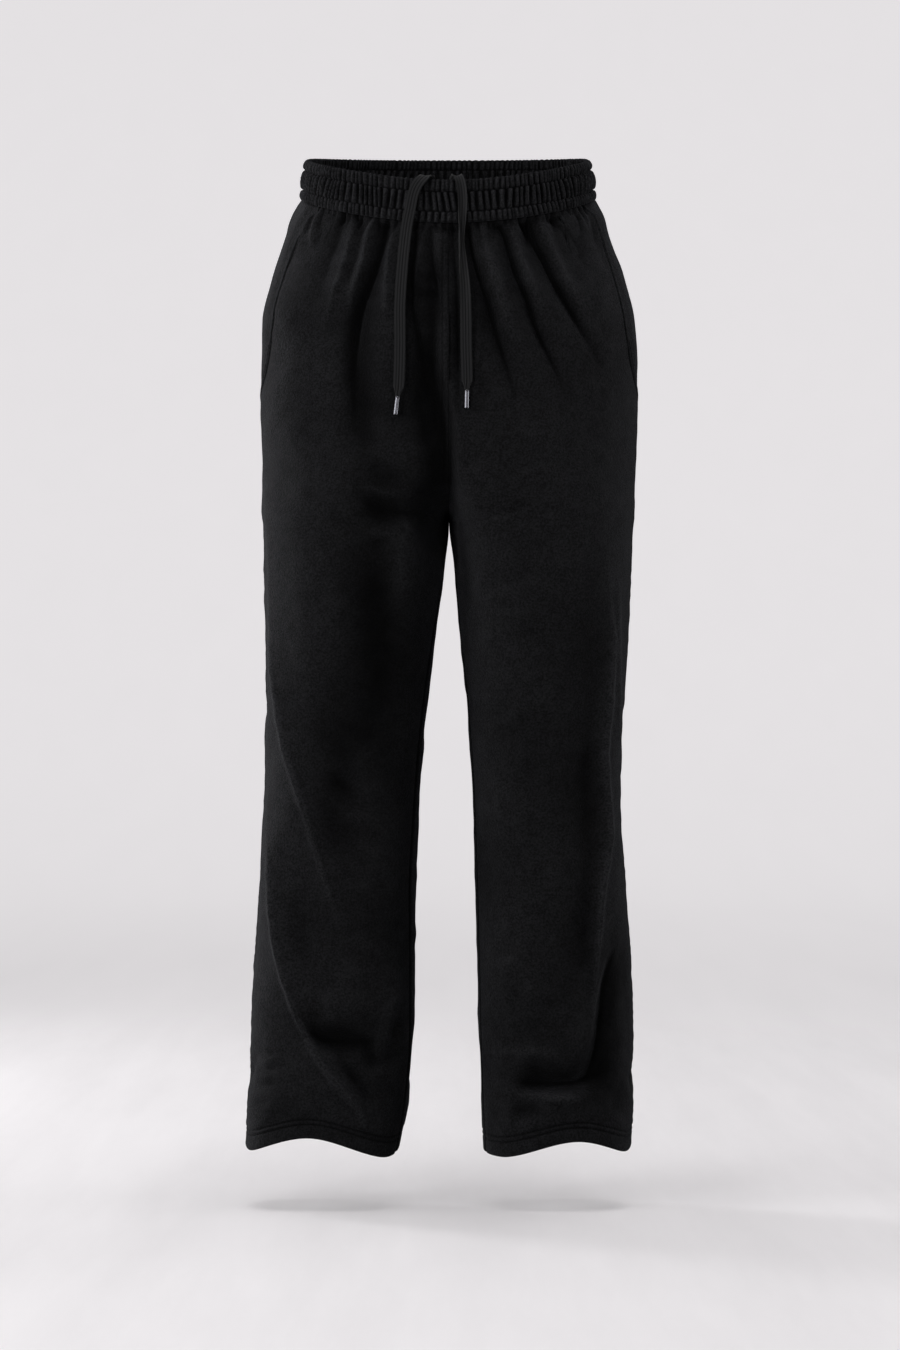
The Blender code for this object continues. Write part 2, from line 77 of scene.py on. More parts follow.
# A trunk row: its level, its widths to the right and left, its depths to the front and back, how far
# behind the middle its side seams lie, and the angle from a side seam to the centre seam
Trunk = namedtuple("Trunk", "down right left front back side turn")
TRUNK = (
    Trunk(0, 154, 151, 94, 98, 0, 90),
    Trunk(43, 160, 158, 97, 101, 0, 90),
    Trunk(60, 169, 167, 99, 105, 0, 90),
    Trunk(86, 178, 174, 103, 112, 0, 90),
    Trunk(130, 192, 190, 108, 124, 1, 90),
    Trunk(173, 202, 201, 111, 134, 3, 90),
    Trunk(216, 203, 204, 113, 140, 6, 90),
    Trunk(260, 204, 204, 113, 142, 9, 90),
    Trunk(302, 203, 203, 112, 140, 11, 94),
    Trunk(335, 202, 202, 110, 135, 13, 103),
    Trunk(360, 201, 201, 108, 130, 14, 119),
    Trunk(377, 201, 201, 106, 127, 13, 141),
    Trunk(387, 201, 201, 105, 125, 13, 163),
)
# A leg row: likewise, with the distances from the middle to its outer and inner sides, and how many
# degrees in front of its inner side the inseam lies
Leg = namedtuple("Leg", "down outer inner front back side inseam")
RIGHT_LEG = (
    Leg(392, 201, 0, 105, 124, 13, 0),
    Leg(432, 201, 3.5, 102, 118, 11, 8),
    Leg(518, 198, 14.5, 92, 103, 7, 18),
    Leg(605, 198, 24, 80, 88, 4, 24),
    Leg(691, 200, 31, 72, 83, 5, 25),
    Leg(778, 205, 36, 66, 82, 7, 25),
    Leg(864, 211, 37, 61, 81, 9, 22),
    Leg(950, 215, 38, 58, 79, 10, 20),
    Leg(1020, 218, 45, 56, 77, 10, 20),
    Leg(1066, 220, 53.5, 55, 75, 10, 20),
)
LEFT_LEG = (
    Leg(392, 200, 0, 105, 124, 13, 0),
    Leg(432, 198, 4.5, 102, 118, 11, 6),
    Leg(518, 194, 12, 91, 103, 7, 12),
    Leg(605, 187, 20, 79, 88, 4, 15),
    Leg(691, 185, 25, 71, 83, 5, 16),
    Leg(778, 191, 28, 65, 82, 7, 16),
    Leg(864, 196, 30, 60, 81, 9, 16),
    Leg(950, 200, 32, 57, 79, 10, 16),
    Leg(1020, 199.5, 34.5, 55, 77, 10, 16),
    Leg(1066, 197, 37, 54, 75, 10, 16),
)
# How far a hem rises at an angle round the leg: 0 is the side seam and 90 the front
HemRise = namedtuple("HemRise", "angle rise")
RIGHT_HEM = (
    HemRise(-180, 2), HemRise(-90, 3), HemRise(0, 3), HemRise(22, -1),
    HemRise(80, 16), HemRise(145, -7), HemRise(180, 2),
)
LEFT_HEM = (
    HemRise(-180, -3), HemRise(-90, 3), HemRise(0, 3), HemRise(25, -2),
    HemRise(75, 12), HemRise(138, -6), HemRise(180, -3),
)
# How wide the pocket's layer shows between its mouth and the side seam
Mouth = namedtuple("Mouth", "down width")
MOUTH = (
    Mouth(43, 62), Mouth(58, 59), Mouth(78, 56), Mouth(100, 54.5), Mouth(150, 54), Mouth(175, 53),
    Mouth(195, 49.5), Mouth(210, 45), Mouth(228, 36.5), Mouth(244, 22), Mouth(MOUTH_END, 0),
)
# A cord's middle from its hidden start to its tip, and its twist in degrees
CordPoint = namedtuple("CordPoint", "x y z twist")
RIGHT_ROUTE = (
    CordPoint(-18, -87.0, -54, 0), CordPoint(-18.5, -87.4, -43, 0), CordPoint(-20, -89.4, -34, 0),
    CordPoint(-24, -94.5, -30.5, 0), CordPoint(-31, -99.2, -36, 0), CordPoint(-37, -100.2, -47, 0),
    CordPoint(-41, -100.6, -66, 0), CordPoint(-45, -101.8, -88, 0), CordPoint(-49, -105.6, -124, 0),
    CordPoint(-51.5, -110.4, -166, 0), CordPoint(-51.5, -113.6, -208, 0),
    CordPoint(-52.7, -115.4, -250, 0), CordPoint(-54, -116, -264, 0),
)
LEFT_ROUTE = (
    CordPoint(4, -87.0, -54, 0), CordPoint(4.4, -87.4, -43, 0), CordPoint(5.5, -89.4, -34, 0),
    CordPoint(8, -94.5, -30.5, 0), CordPoint(11.5, -99.4, -36, 0), CordPoint(13.6, -100.4, -47, 0),
    CordPoint(14.2, -101, -62, 0), CordPoint(12.6, -102.8, -88, -25), CordPoint(11.8, -104.4, -99, -35),
    CordPoint(14.2, -107.6, -124, -12), CordPoint(16.8, -111, -151, 0),
    CordPoint(17.8, -113.8, -182, 0), CordPoint(18, -115.4, -214, 0), CordPoint(18.8, -116, -245, 0),
    CordPoint(18.7, -116.2, -257, 0),
)

# Folds: ridges (height above 0) and troughs, by the face of the garment that each is drawn on. A path is
# seen square on to its face, as (x, z) on the front and back and as (y, z) on the outer and inner sides.
# lean makes the right flank, looking along the path, wider than the left. crisp is 2 for a soft fold and
# nearer 1 for a sharp crest. start and end are the shares of the height that the two ends of the path
# keep. crest is the height of a narrow pressed edge along the path, and below 0 it is a narrow crease;
# along it the colour gets a painted highlight, or painted shade below 0.
Fold = namedtuple("Fold", "path width height lean crisp start end crest",
                  defaults=(0.0, 2.0, 0.0, 0.0, 0.0))
FOLDS = {
    "front": (
        # Right leg: the long sweep from the thigh to the ankle, and its hollow
        Fold(((-195, -690), (-192, -735), (-189, -775), (-183, -840), (-171, -890), (-151, -944),
             (-126, -984), (-108, -1006), (-97, -1022), (-92, -1034)), 15, 8, 0.3, 1.3, 0.1, 0.3,
             crest=2.9),
        Fold(((-147, -938), (-134, -946), (-108, -948), (-70, -946)), 13, -12, -0.3, 1.6, 0.75, 0.1,
             crest=-1.2),
        Fold(((-146, -908), (-110, -910), (-72, -914)), 17, 4.5, 0.0, 2, 0.1, 0.1),
        Fold(((-128, -956), (-108, -979), (-93, -1003), (-88, -1026)), 9, -5, 0.3, 1.6, 0.1, 0.3),
        Fold(((-48, -864), (-60, -905), (-67, -945), (-73, -976)), 10, 5, 0.0, 1.5, 0.0, 0.1),
        Fold(((-52, -905), (-60, -945), (-66, -985)), 9, -5, 0.0, 1.8),
        Fold(((-84, -938), (-80, -966), (-78, -982)), 10, -5, 0.0, 1.8),
        Fold(((-195, -351), (-190, -440), (-185, -545), (-175, -616), (-163, -664), (-148, -718),
             (-136, -760), (-124, -800), (-113, -832)), 16, 7.5, 0.4, 1.4, 0.2, 0.1, crest=2.7),
        Fold(((-130, -560), (-118, -640), (-108, -710), (-88, -800)), 26, -4.8, 0.3, 1.9, 0.1, 0.1),
        Fold(((-130, -656), (-112, -676), (-90, -690)), 9, -3.2, 0.2, 1.6, 0.1, 0.1),
        Fold(((-122, -694), (-102, -706), (-84, -702)), 9, 2.6, 0.0, 1.6, 0.1, 0.1, crest=0.4),
        Fold(((-168, -770), (-158, -830), (-142, -890)), 16, -3.5, 0.0),
        Fold(((-140, -360), (-142, -440), (-146, -540), (-150, -620)), 26, 4, 0.0, 1.8, 0.1, 0.1),
        Fold(((-78, -330), (-76, -420), (-72, -520), (-68, -610), (-66, -690)), 30, -7, 0.2, 1.9, 0.1,
             0.2),
        Fold(((-96, -372), (-74, -385), (-46, -389), (-24, -381)), 8, -5.5, 0.0, 1.5, 0.1, 0.1),
        Fold(((-98, -352), (-78, -362), (-54, -366), (-30, -360)), 7, 3.5, 0.0, 1.5, crest=0.5),
        Fold(((-98, -400), (-72, -408), (-50, -410)), 7, 3, 0.0, 1.5, crest=0.4),
        Fold(((-120, -612), (-92, -622), (-64, -616)), 12, -1.6),
        Fold(((-160, -560), (-128, -574), (-100, -570)), 14, -1.4),
        Fold(((-213, -957), (-197, -961), (-178, -956)), 4.5, -2.4, 0.0, 1.6),
        Fold(((-214, -973), (-196, -978), (-174, -971)), 4.5, -2.8, 0.2, 1.6),
        Fold(((-213, -990), (-197, -994), (-180, -989)), 4.5, -2.4, 0.0, 1.6),
        Fold(((-215, -1010), (-202, -1014), (-188, -1010)), 4, -2.0, 0.0, 1.6),
        # Left leg: the edge near the side seam, and the hollows over the ankle
        Fold(((166, -432), (170, -480), (174, -520), (168, -590), (164, -640), (170, -720), (163, -780),
             (160, -838), (155, -890), (149, -930)), 11, 6, -0.3, 1.4, 0.1, 0.1, crest=2.6),
        Fold(((148, -440), (152, -560), (146, -660), (148, -760), (140, -850), (134, -910)), 17, -5, 0.0,
             2, 0.1, 0.0),
        Fold(((178, -440), (180, -500), (178, -580), (182, -640)), 5, 2, 0.0, 1.5, 0.1, 0.1, crest=1.4),
        Fold(((188, -826), (178, -856), (168, -896), (162, -936), (157, -966), (150, -986)), 18, -11.5,
             -0.65, 1.6, 0.0, 0.8, crest=-1.2),
        Fold(((176, -838), (166, -870), (157, -905), (152, -940), (148, -962)), 5, 3, 0.0, 1.5, 0.0, 0.1,
             crest=1.0),
        Fold(((160, -984), (138, -991), (112, -993), (86, -992), (66, -988)), 13, -14, 0.55, 1.5, 0.6,
             0.1, crest=-2.2),
        Fold(((36, -958), (72, -959), (104, -962), (124, -972)), 10, 4, 0.4, 1.6, 0.1, 0.6, crest=0.4),
        Fold(((66, -1000), (104, -1008), (142, -1007)), 8, 5, 0.0, 1.5, 0.1, 0.1, crest=0.8),
        Fold(((60, -1026), (84, -1019), (108, -1010)), 9, -6.5, 0.0, 1.6),
        Fold(((176, -985), (184, -1010), (188, -1034)), 12, -3.5, 0.0),
        Fold(((45, -848), (58, -853), (68, -861)), 6, -1.6, 0.0),
        Fold(((48, -890), (66, -891), (84, -897)), 7, -1.6, 0.0),
        Fold(((48, -612), (72, -596), (98, -578), (124, -562)), 9, 2.2, 0.4, 1.6),
        Fold(((46, -622), (74, -608), (100, -590)), 9, -2, 0.0),
        Fold(((76, -562), (92, -556), (108, -548)), 8, 1.6),
        Fold(((48, -722), (58, -690), (76, -677)), 8, 1.6),
        Fold(((60, -520), (84, -512), (110, -520)), 12, -1.5),
        Fold(((40, -470), (70, -480), (96, -474)), 14, 1.4),
        # Belly: folds that run down from the waistband
        Fold(((-128, -70), (-133, -84), (-144, -104)), 5, -3.4, 0.0, 1.3, 0.9, 0.0),
        Fold(((-140, -68), (-146, -80), (-150, -98)), 5, 2.4, 0.0, 1.4, 0.7, 0.0),
        Fold(((-112, -74), (-118, -94), (-130, -128), (-140, -165)), 7, -4.4, 0.2, 1.4, 0.8, 0.0),
        Fold(((-100, -75), (-103, -92), (-110, -122), (-124, -162), (-136, -205)), 7, 4.4, 0.0, 1.5, 0.8,
             0.0, crest=0.9),
        Fold(((-91, -76), (-95, -102), (-104, -136), (-114, -165)), 6, -4.6, 0.2, 1.3, 0.8, 0.0),
        Fold(((-84, -76), (-87, -98), (-92, -124), (-100, -148), (-108, -185)), 6, 4.2, 0.0, 1.5, 0.8,
             0.0, crest=0.9),
        Fold(((-66, -79), (-69, -100), (-78, -130), (-91, -165), (-98, -196), (-102, -250), (-100, -300)),
             11, -12, -0.3, 1.35, 0.7, 0.1, crest=-1.8),
        Fold(((-59, -80), (-63, -102), (-66, -128), (-67, -165), (-66, -200)), 6, 4.4, 0.0, 1.4, 0.8, 0.0,
             crest=0.9),
        Fold(((-33, -81), (-36, -118), (-39, -165), (-33, -205), (-25, -262)), 9, -8, 0.0, 1.4, 0.7, 0.4,
             crest=-1.3),
        Fold(((-26, -80), (-29, -104), (-34, -134), (-36, -160)), 5, 3.4, 0.0, 1.4, 0.8, 0.0),
        Fold(((-20, -80), (-18, -98), (-17, -124), (-11, -154), (-8, -190)), 5, -5.5, 0.3, 1.3, 0.9, 0.1),
        Fold(((-14, -82), (-11, -104), (-8, -128)), 4, 2.4, 0.0, 1.4, 0.8, 0.0),
        Fold(((-12, -104), (-14, -150), (-16, -200), (-17, -250), (-16, -300)), 10, -9, 0.3, 1.6, 0.2,
             0.4),
        Fold(((-18, -232), (-11, -258), (-4, -298), (-2, -340), (-1, -374), (-3, -412)), 14, -17, 0.7,
             1.6, 0.3, 0.5),
        Fold(((-94, -200), (-94, -240), (-90, -278), (-87, -312), (-78, -345)), 15, -4.5, 0.0, 1.8, 0.2,
             0.3),
        Fold(((-88, -322), (-70, -350), (-50, -378), (-42, -412)), 32, -5, 0.0, 2, 0.2, 0.3),
        Fold(((20, -320), (28, -366), (34, -404), (42, -460), (50, -540)), 20, 9, 0.0, 1.9, 0.1, 0.0),
        Fold(((-38, -350), (-42, -392), (-44, -440), (-48, -520)), 17, 7, 0.0, 1.9, 0.1, 0.0),
        Fold(((2, -84), (5, -112), (8, -150), (9, -203), (10, -256), (13, -305)), 5.5, -6.5, 0.0, 1.4,
             0.8, 0.1),
        Fold(((20, -84), (23, -104), (27, -122), (33, -142), (40, -163), (48, -192), (58, -224),
             (70, -262)), 8, -9, 0.25, 1.3, 0.8, 0.2, crest=-1.4),
        Fold(((35, -84), (42, -119), (50, -140), (55, -160), (64, -192), (71, -224)), 6, 3.8, 0.0, 1.5,
             0.8, 0.0, crest=0.8),
        Fold(((54, -83), (60, -98), (66, -119), (73, -140), (82, -160), (92, -192), (107, -224),
             (122, -258)), 6.5, -8, 0.25, 1.3, 0.9, 0.2, crest=-1.6),
        Fold(((64, -81), (71, -98), (77, -119), (84, -140), (93, -160), (106, -192)), 6, 3.8, 0.0, 1.5,
             0.8, 0.0, crest=0.8),
        Fold(((84, -78), (90, -98), (101, -119), (111, -140), (122, -160), (140, -192), (158, -224)), 6.5,
             -8, 0.25, 1.3, 0.9, 0.2, crest=-1.6),
        Fold(((97, -78), (106, -98), (115, -119), (124, -140), (134, -160), (148, -192)), 6, 3.4, 0.0,
             1.5, 0.8, 0.0, crest=0.7),
        Fold(((112, -74), (124, -90), (136, -108), (145, -128)), 5, -3.6, 0.2, 1.3, 0.9, 0.0),
        Fold(((96, -68), (112, -61), (128, -60), (139, -68), (143, -86)), 4, 2.6, 0.0, 1.5, 0.2, 0.0),
        Fold(((100, -76), (116, -70), (128, -71), (134, -84)), 4.5, -3.6, 0.0, 1.4, 0.6, 0.2),
        Fold(((-140, -250), (-120, -270), (-96, -276)), 16, 1.6),
        Fold(((60, -292), (90, -300), (120, -290)), 16, 1.6),
    ),
    "back": (
        # The seat's folds, the knees and the calves
        Fold(((-192, -304), (-158, -340), (-112, -374), (-64, -392), (-28, -396)), 18, -5.5, 0.3, 1.7,
             0.1, 0.2, crest=-0.4),
        Fold(((-164, -366), (-120, -398), (-70, -412)), 14, 4.5, 0.0, 1.6),
        Fold(((174, -330), (138, -366), (92, -392), (46, -398)), 17, -5, -0.3, 1.7, 0.1, 0.2, crest=-0.3),
        Fold(((158, -378), (112, -404), (66, -414)), 14, 4.5, 0.0, 1.6),
        Fold(((-50, -572), (-84, -604), (-126, -620), (-184, -606)), 16, -4.5, 0.3, 1.8, 0.1, 0.1),
        Fold(((-64, -640), (-112, -662), (-176, -650)), 13, 3.4, 0.0, 1.7, 0.1, 0.1, crest=0.5),
        Fold(((-70, -560), (-108, -574), (-150, -566)), 11, 3, 0.0, 1.6),
        Fold(((44, -640), (78, -618), (124, -618), (172, -656)), 15, -4.2, -0.3, 1.8, 0.1, 0.1),
        Fold(((62, -652), (100, -640), (146, -662)), 11, 3.4, 0.0, 1.6),
        Fold(((50, -596), (96, -578), (148, -588)), 13, 3.2, 0.0, 1.7, 0.1, 0.1, crest=0.5),
        Fold(((-186, -830), (-164, -892), (-130, -938), (-96, -968), (-70, -990)), 14, 8, 0.3, 1.35, 0.1,
             0.2, crest=2.0),
        Fold(((54, -856), (80, -906), (112, -948), (148, -978), (174, -996)), 14, 8, -0.3, 1.35, 0.1, 0.2,
             crest=1.8),
        Fold(((-184, -942), (-152, -984), (-114, -1004), (-72, -1008)), 12, -8, 0.4, 1.6, 0.1, 0.1,
             crest=-0.6),
        Fold(((58, -958), (90, -992), (128, -1008), (174, -1000)), 12, -7.5, -0.4, 1.6, 0.1, 0.1,
             crest=-0.6),
        Fold(((-110, -700), (-122, -770), (-112, -840)), 22, 3.2),
        Fold(((110, -700), (96, -770), (106, -836)), 22, 3.2),
        Fold(((-58, -50), (-70, -96), (-92, -160), (-124, -236)), 9, -5.5, 0.0, 1.5, 0.7, 0.0,
             crest=-0.6),
        Fold(((-30, -66), (-34, -110), (-44, -150)), 9, 3.4, 0.0, 1.6, 0.6, 0.0),
        Fold(((-92, -54), (-116, -108), (-134, -164)), 8, 4.2, 0.0, 1.5, 0.7, 0.0, crest=0.7),
        Fold(((32, -50), (40, -100), (58, -164), (70, -228)), 9, -5, 0.0, 1.5, 0.7, 0.0, crest=-0.5),
        Fold(((62, -52), (84, -104), (104, -156)), 8, 4.2, 0.0, 1.5, 0.7, 0.0, crest=0.7),
        Fold(((100, -56), (122, -112), (142, -190)), 8, -5, 0.0, 1.5, 0.7, 0.0, crest=-0.5),
        Fold(((-8, -300), (-30, -330), (-60, -352)), 12, -4, 0.0),
        Fold(((8, -300), (32, -328), (62, -350)), 12, -4, 0.0),
    ),
    "outer right": (
        Fold(((26, -84), (36, -130), (50, -190), (60, -250)), 12, -4.5, 0.0, 1.6, 0.6, 0.0),
        Fold(((44, -80), (58, -130), (76, -180)), 9, 3.2, 0.0, 1.6, 0.6, 0.0),
        Fold(((-30, -560), (0, -590), (40, -600)), 13, -3.5),
        Fold(((-36, -950), (0, -985), (42, -990)), 12, -5, 0.0, 1.6),
    ),
    "outer left": (
        Fold(((30, -84), (40, -136), (52, -196), (58, -262)), 12, -4.5, 0.0, 1.6, 0.6, 0.0),
        Fold(((48, -82), (64, -128), (80, -176)), 9, 3.2, 0.0, 1.6, 0.6, 0.0),
        Fold(((-34, -600), (6, -616), (40, -606)), 13, -3.5),
        Fold(((44, -946), (10, -984), (-24, -996)), 12, -5, 0.0, 1.6),
    ),
    "inner right": (
        Fold(((-50, -400), (-10, -430), (40, -436)), 14, -4),
        Fold(((50, -930), (16, -960), (-24, -976)), 12, -4),
    ),
    "inner left": (
        Fold(((-50, -404), (-8, -432), (42, -430)), 14, -4),
        Fold(((48, -936), (14, -966), (-22, -970)), 12, -4),
    ),
}
# Which way each face looks
FACES = {
    "front": (0, -1, 0),
    "back": (0, 1, 0),
    "outer right": (-1, 0, 0),
    "outer left": (1, 0, 0),
    "inner right": (1, 0, 0),
    "inner left": (-1, 0, 0),
}


# ---------------------------------------------------------------- curves and the garment's surface

def smooth(xs, ys, x):
    """Value at x of a smooth curve through the rows (xs, ys) that never overshoots them."""
    xs = np.asarray(xs, float)
    ys = np.asarray(ys, float)
    step = np.diff(xs)
    slope = np.diff(ys) / step
    product = slope[:-1] * slope[1:]
    total = np.where(product > 0, slope[:-1] + slope[1:], 1.0)
    middle = np.where(product > 0, 2 * product / total, 0.0)
    tangent = np.concatenate(([slope[0]], middle, [slope[-1]]))
    k = np.clip(np.searchsorted(xs, x, side="right") - 1, 0, len(step) - 1)
    f = np.clip((x - xs[k]) / step[k], 0, 1)
    rise = tangent[k] * step[k]
    fall = tangent[k + 1] * step[k]
    change = ys[k + 1] - ys[k]
    return ys[k] + f * rise + f**2 * (3 * change - 2 * rise - fall) + f**3 * (rise + fall - 2 * change)


def ease(start, end, x):
    """0 at start, 1 at end and level at both."""
    f = np.clip((x - start) / (end - start), 0, 1)
    return f * f * (3 - 2 * f)


def fullness(angle):
    """How much fuller than an ellipse a section is, at an angle round it."""
    return 1 + ROUNDNESS * np.sin(2 * angle) ** 2


def level_table(side):
    """The columns of one half, side -1 being the wearer's right: trunk rows, then leg rows."""
    leg = RIGHT_LEG if side < 0 else LEFT_LEG
    rows = [(t.down, t.right if side < 0 else t.left, 0, t.front, t.back, t.side, t.turn, 0)
            for t in TRUNK]
    rows += [(r.down, r.outer, r.inner, r.front, r.back, r.side, 180, r.inseam) for r in leg]
    return np.array(rows, float).T


TABLES = {side: level_table(side) for side in (-1, 1)}


def row_tilt(side, angle, down):
    """How far a row lies above its level: the waist dips in front, the hem rises over the foot."""
    across = np.abs(np.sin(angle))
    dip = -(FRONT_DIP[0] * across + FRONT_DIP[1] * across**2)
    rise = BACK_RISE[0] * across + BACK_RISE[1] * across**2
    waist = np.where(angle > 0, dip, rise) * (1 - ease(BAND, TILT_ENDS, down))
    hem_rows = RIGHT_HEM if side < 0 else LEFT_HEM
    turned = (np.degrees(angle) + 180) % 360 - 180
    hem = smooth([h.angle for h in hem_rows], [h.rise for h in hem_rows], turned)
    return waist + hem * ease(HEM_CURVE_STARTS, HEM, down)


def bare_surface(side, share, down):
    """Points of one half without its folds.

    share runs from the centre seam or inseam across the front to the side seam at 1, and on
    across the back to the centre seam or inseam at 2.
    """
    legs = down >= CROTCH
    share = np.where(legs, share % 2, np.clip(share, 0, 2))
    levels, *columns = TABLES[side]
    outer, inner, front, back, seam, turn, inseam = (smooth(levels, c, down) for c in columns)
    turn = np.radians(turn)
    inseam = np.radians(inseam)
    angle = np.where(share <= 1, (turn - inseam) * (1 - share), -(turn + inseam) * (share - 1))
    reach = -np.cos(turn) * fullness(turn)
    centre = np.where(legs, (outer + inner) / 2, outer * reach / (1 + reach))
    swing = np.cos(angle) * fullness(angle)
    depth = np.where(np.sin(angle) >= 0, front + seam, back - seam)
    x = side * (centre + (outer - centre) * swing)
    y = seam - depth * np.sin(angle) * fullness(angle)
    return np.stack([x, y, row_tilt(side, angle, down) - down], axis=-1)


SOFTENED = (300.0, 470.0)   # levels between which the cloth is drawn smooth over the crotch
SOFT_OVER = 13.0            # how far up and down a point is averaged there
SOFT_ENDS = 35.0            # over which the smoothing sets in at each end
SOFT_STEP = 2.0             # between the table's levels, and between its distances from the middle
SOFT_X = np.linspace(0, 130, 66)


def softening_table(side, part):
    """How far the cloth moves along Y, by level and by distance from the middle, to lie smooth."""
    top, bottom = SOFTENED
    levels = np.arange(top, bottom + 1, SOFT_STEP)
    share = np.linspace(0, 0.9, 120) if part == "front" else np.linspace(2, 1.1, 120)
    depth = []
    for level in levels:
        points = bare_surface(side, share, np.full_like(share, level))
        depth.append(np.interp(SOFT_X, np.abs(points[:, 0]), points[:, 1]))
    depth = np.array(depth)
    weight = np.exp(-0.5 * ((levels[:, None] - levels) / SOFT_OVER) ** 2)
    smoothed = weight @ depth / weight.sum(axis=1, keepdims=True)
    shown = ease(top, top + SOFT_ENDS, levels) * ease(bottom, bottom - SOFT_ENDS, levels)
    return (smoothed - depth) * shown[:, None] * ease(2, 16, SOFT_X) * ease(130, 100, SOFT_X)


PARTS = ("front", "back")
SOFTENING = {(side, part): softening_table(side, part) for side in (-1, 1) for part in PARTS}


def drawn_surface(side, share, down):
    """bare_surface, drawn smooth over the crotch."""
    points = bare_surface(side, share, down)
    row = np.clip((down - SOFTENED[0]) / SOFT_STEP, 0, len(SOFTENING[side, "front"]) - 1.001)
    column = np.clip(np.abs(points[..., 0]) / SOFT_STEP, 0, len(SOFT_X) - 1.001)
    i, j = row.astype(int), column.astype(int)
    f, g = row - i, column - j
    for part, here in zip(PARTS, (share % 2 <= 1, share % 2 > 1)):
        table = SOFTENING[side, part]
        move = ((table[i, j] * (1 - g) + table[i, j + 1] * g) * (1 - f)
                + (table[i + 1, j] * (1 - g) + table[i + 1, j + 1] * g) * f)
        points[..., 1] += np.where(here, move, 0)
    return points


SHARE_STEP = 0.004          # the small steps over which the surface's slopes are taken
DOWN_STEP = 0.5


def drawn_normal(side, share, down):
    """Unit normals of drawn_surface, pointing out of the garment."""
    along = (drawn_surface(side, share + SHARE_STEP, down)
             - drawn_surface(side, share - SHARE_STEP, down))
    fall = drawn_surface(side, share, down + DOWN_STEP) - drawn_surface(side, share, down - DOWN_STEP)
    normal = side * np.cross(fall, along)
    at_centre = (down < CROTCH) & ((share < SHARE_STEP) | (share > 2 - SHARE_STEP))
    normal[..., 0] = np.where(at_centre, side * np.minimum(side * normal[..., 0], 0), normal[..., 0])
    return normal / np.linalg.norm(normal, axis=-1, keepdims=True)


def pace(side, share, down):
    """Millimetres of cloth that one unit of share covers."""
    ahead = bare_surface(side, share + SHARE_STEP, down)
    return np.linalg.norm(ahead - bare_surface(side, share - SHARE_STEP, down), axis=-1) / (2 * SHARE_STEP)


def catmull_rom(points, samples):
    """Points of a smooth curve through the rows of points."""
    points = np.asarray(points, float)
    padded = np.vstack([2 * points[0] - points[1], points, 2 * points[-1] - points[-2]])
    place = np.linspace(0, len(points) - 1, samples)
    k = np.minimum(place.astype(int), len(points) - 2)
    f = (place - k)[:, None]
    a, b, c, d = (padded[k + n] for n in range(4))
    return 0.5 * (2 * b + (c - a) * f + (2 * a - 5 * b + 4 * c - d) * f**2 + (3 * b - a - 3 * c + d) * f**3)


def run_along(line):
    """How far along a line each of its points lies."""
    return np.concatenate(([0], np.cumsum(np.linalg.norm(np.diff(line, axis=0), axis=1))))


def along_path(flat, path):
    """Distance of each flat point from a path, the signed one to its right, and how far along it is."""
    best = np.full(len(flat), np.inf)
    right = np.zeros(len(flat))
    along = np.zeros(len(flat))
    pieces = len(path) - 1
    for k in range(pieces):
        start, run = path[k], path[k + 1] - path[k]
        size = np.linalg.norm(run)
        away = flat - start
        t = np.clip(away @ run / size**2, 0, 1)
        gap = np.linalg.norm(away - t[:, None] * run, axis=1)
        nearer = gap < best
        best = np.where(nearer, gap, best)
        aside = (run[1] * away[:, 0] - run[0] * away[:, 1]) / size
        right = np.where(nearer, aside, right)
        along = np.where(nearer, (k + t) / pieces, along)
    return best, right, along


REACH = 3.2                 # widths beyond which a fold moves nothing
CREST = 0.7                 # rounds the crest of a crisp fold
CREST_WIDTH = 2.6           # of a pressed edge
FOLD_ENDS = 0.4             # share of a fold's length over which each end fades
FACING = 0.45               # how squarely cloth has to meet a fold's face to show all of it


def fold_height(face_name, fold, points, normals):
    """How far one fold moves each point out along its normal, and the part of that in its pressed edge."""
    face = np.array(FACES[face_name], float)
    flat = points[:, [1, 2]] if face[0] else points[:, [0, 2]]
    path = catmull_rom(fold.path, 4 * len(fold.path))
    reach = REACH * fold.width * (1 + abs(fold.lean))
    near = np.all((flat > path.min(axis=0) - reach) & (flat < path.max(axis=0) + reach), axis=1)
    near &= normals @ face > 0
    if face_name.startswith("inner"):
        near &= points[:, 0] * face[0] < 0
    height = np.zeros(len(points))
    edge = np.zeros(len(points))
    if not near.any():
        return height, edge
    gap, right, along = along_path(flat[near], path)
    width = fold.width * (1 + fold.lean * np.tanh(right / fold.width))
    taper = ((fold.start + (1 - fold.start) * ease(0, FOLD_ENDS, along))
             * (fold.end + (1 - fold.end) * ease(0, FOLD_ENDS, 1 - along)))
    profile = np.exp(-(np.sqrt(gap**2 + CREST**2) / width) ** fold.crisp)
    shown = taper * ease(0.0, FACING, normals[near] @ face)
    edge[near] = fold.crest * shown * np.exp(-(gap / CREST_WIDTH) ** 2)
    height[near] = fold.height * shown * profile
    return height + edge, edge


# ------------------------------------------------------------------------------ the cloth's relief

WAVES = 14                  # that make up a random swelling
PLEATS_REACH = 130.0        # how far below the waistband its gathers may run


def swell(across, down, height, lengths, seed):
    """Soft random swelling made of waves of many directions, with lengths from the range."""
    random = np.random.default_rng(seed)
    total = np.zeros(np.shape(across))
    for _ in range(WAVES):
        length = random.uniform(*lengths)
        angle = random.uniform(0, math.pi)
        phase = random.uniform(0, 2 * math.pi)
        total += np.sin(2 * math.pi * (across * math.cos(angle) + down * math.sin(angle)) / length + phase)
    return total * height / math.sqrt(WAVES / 2)


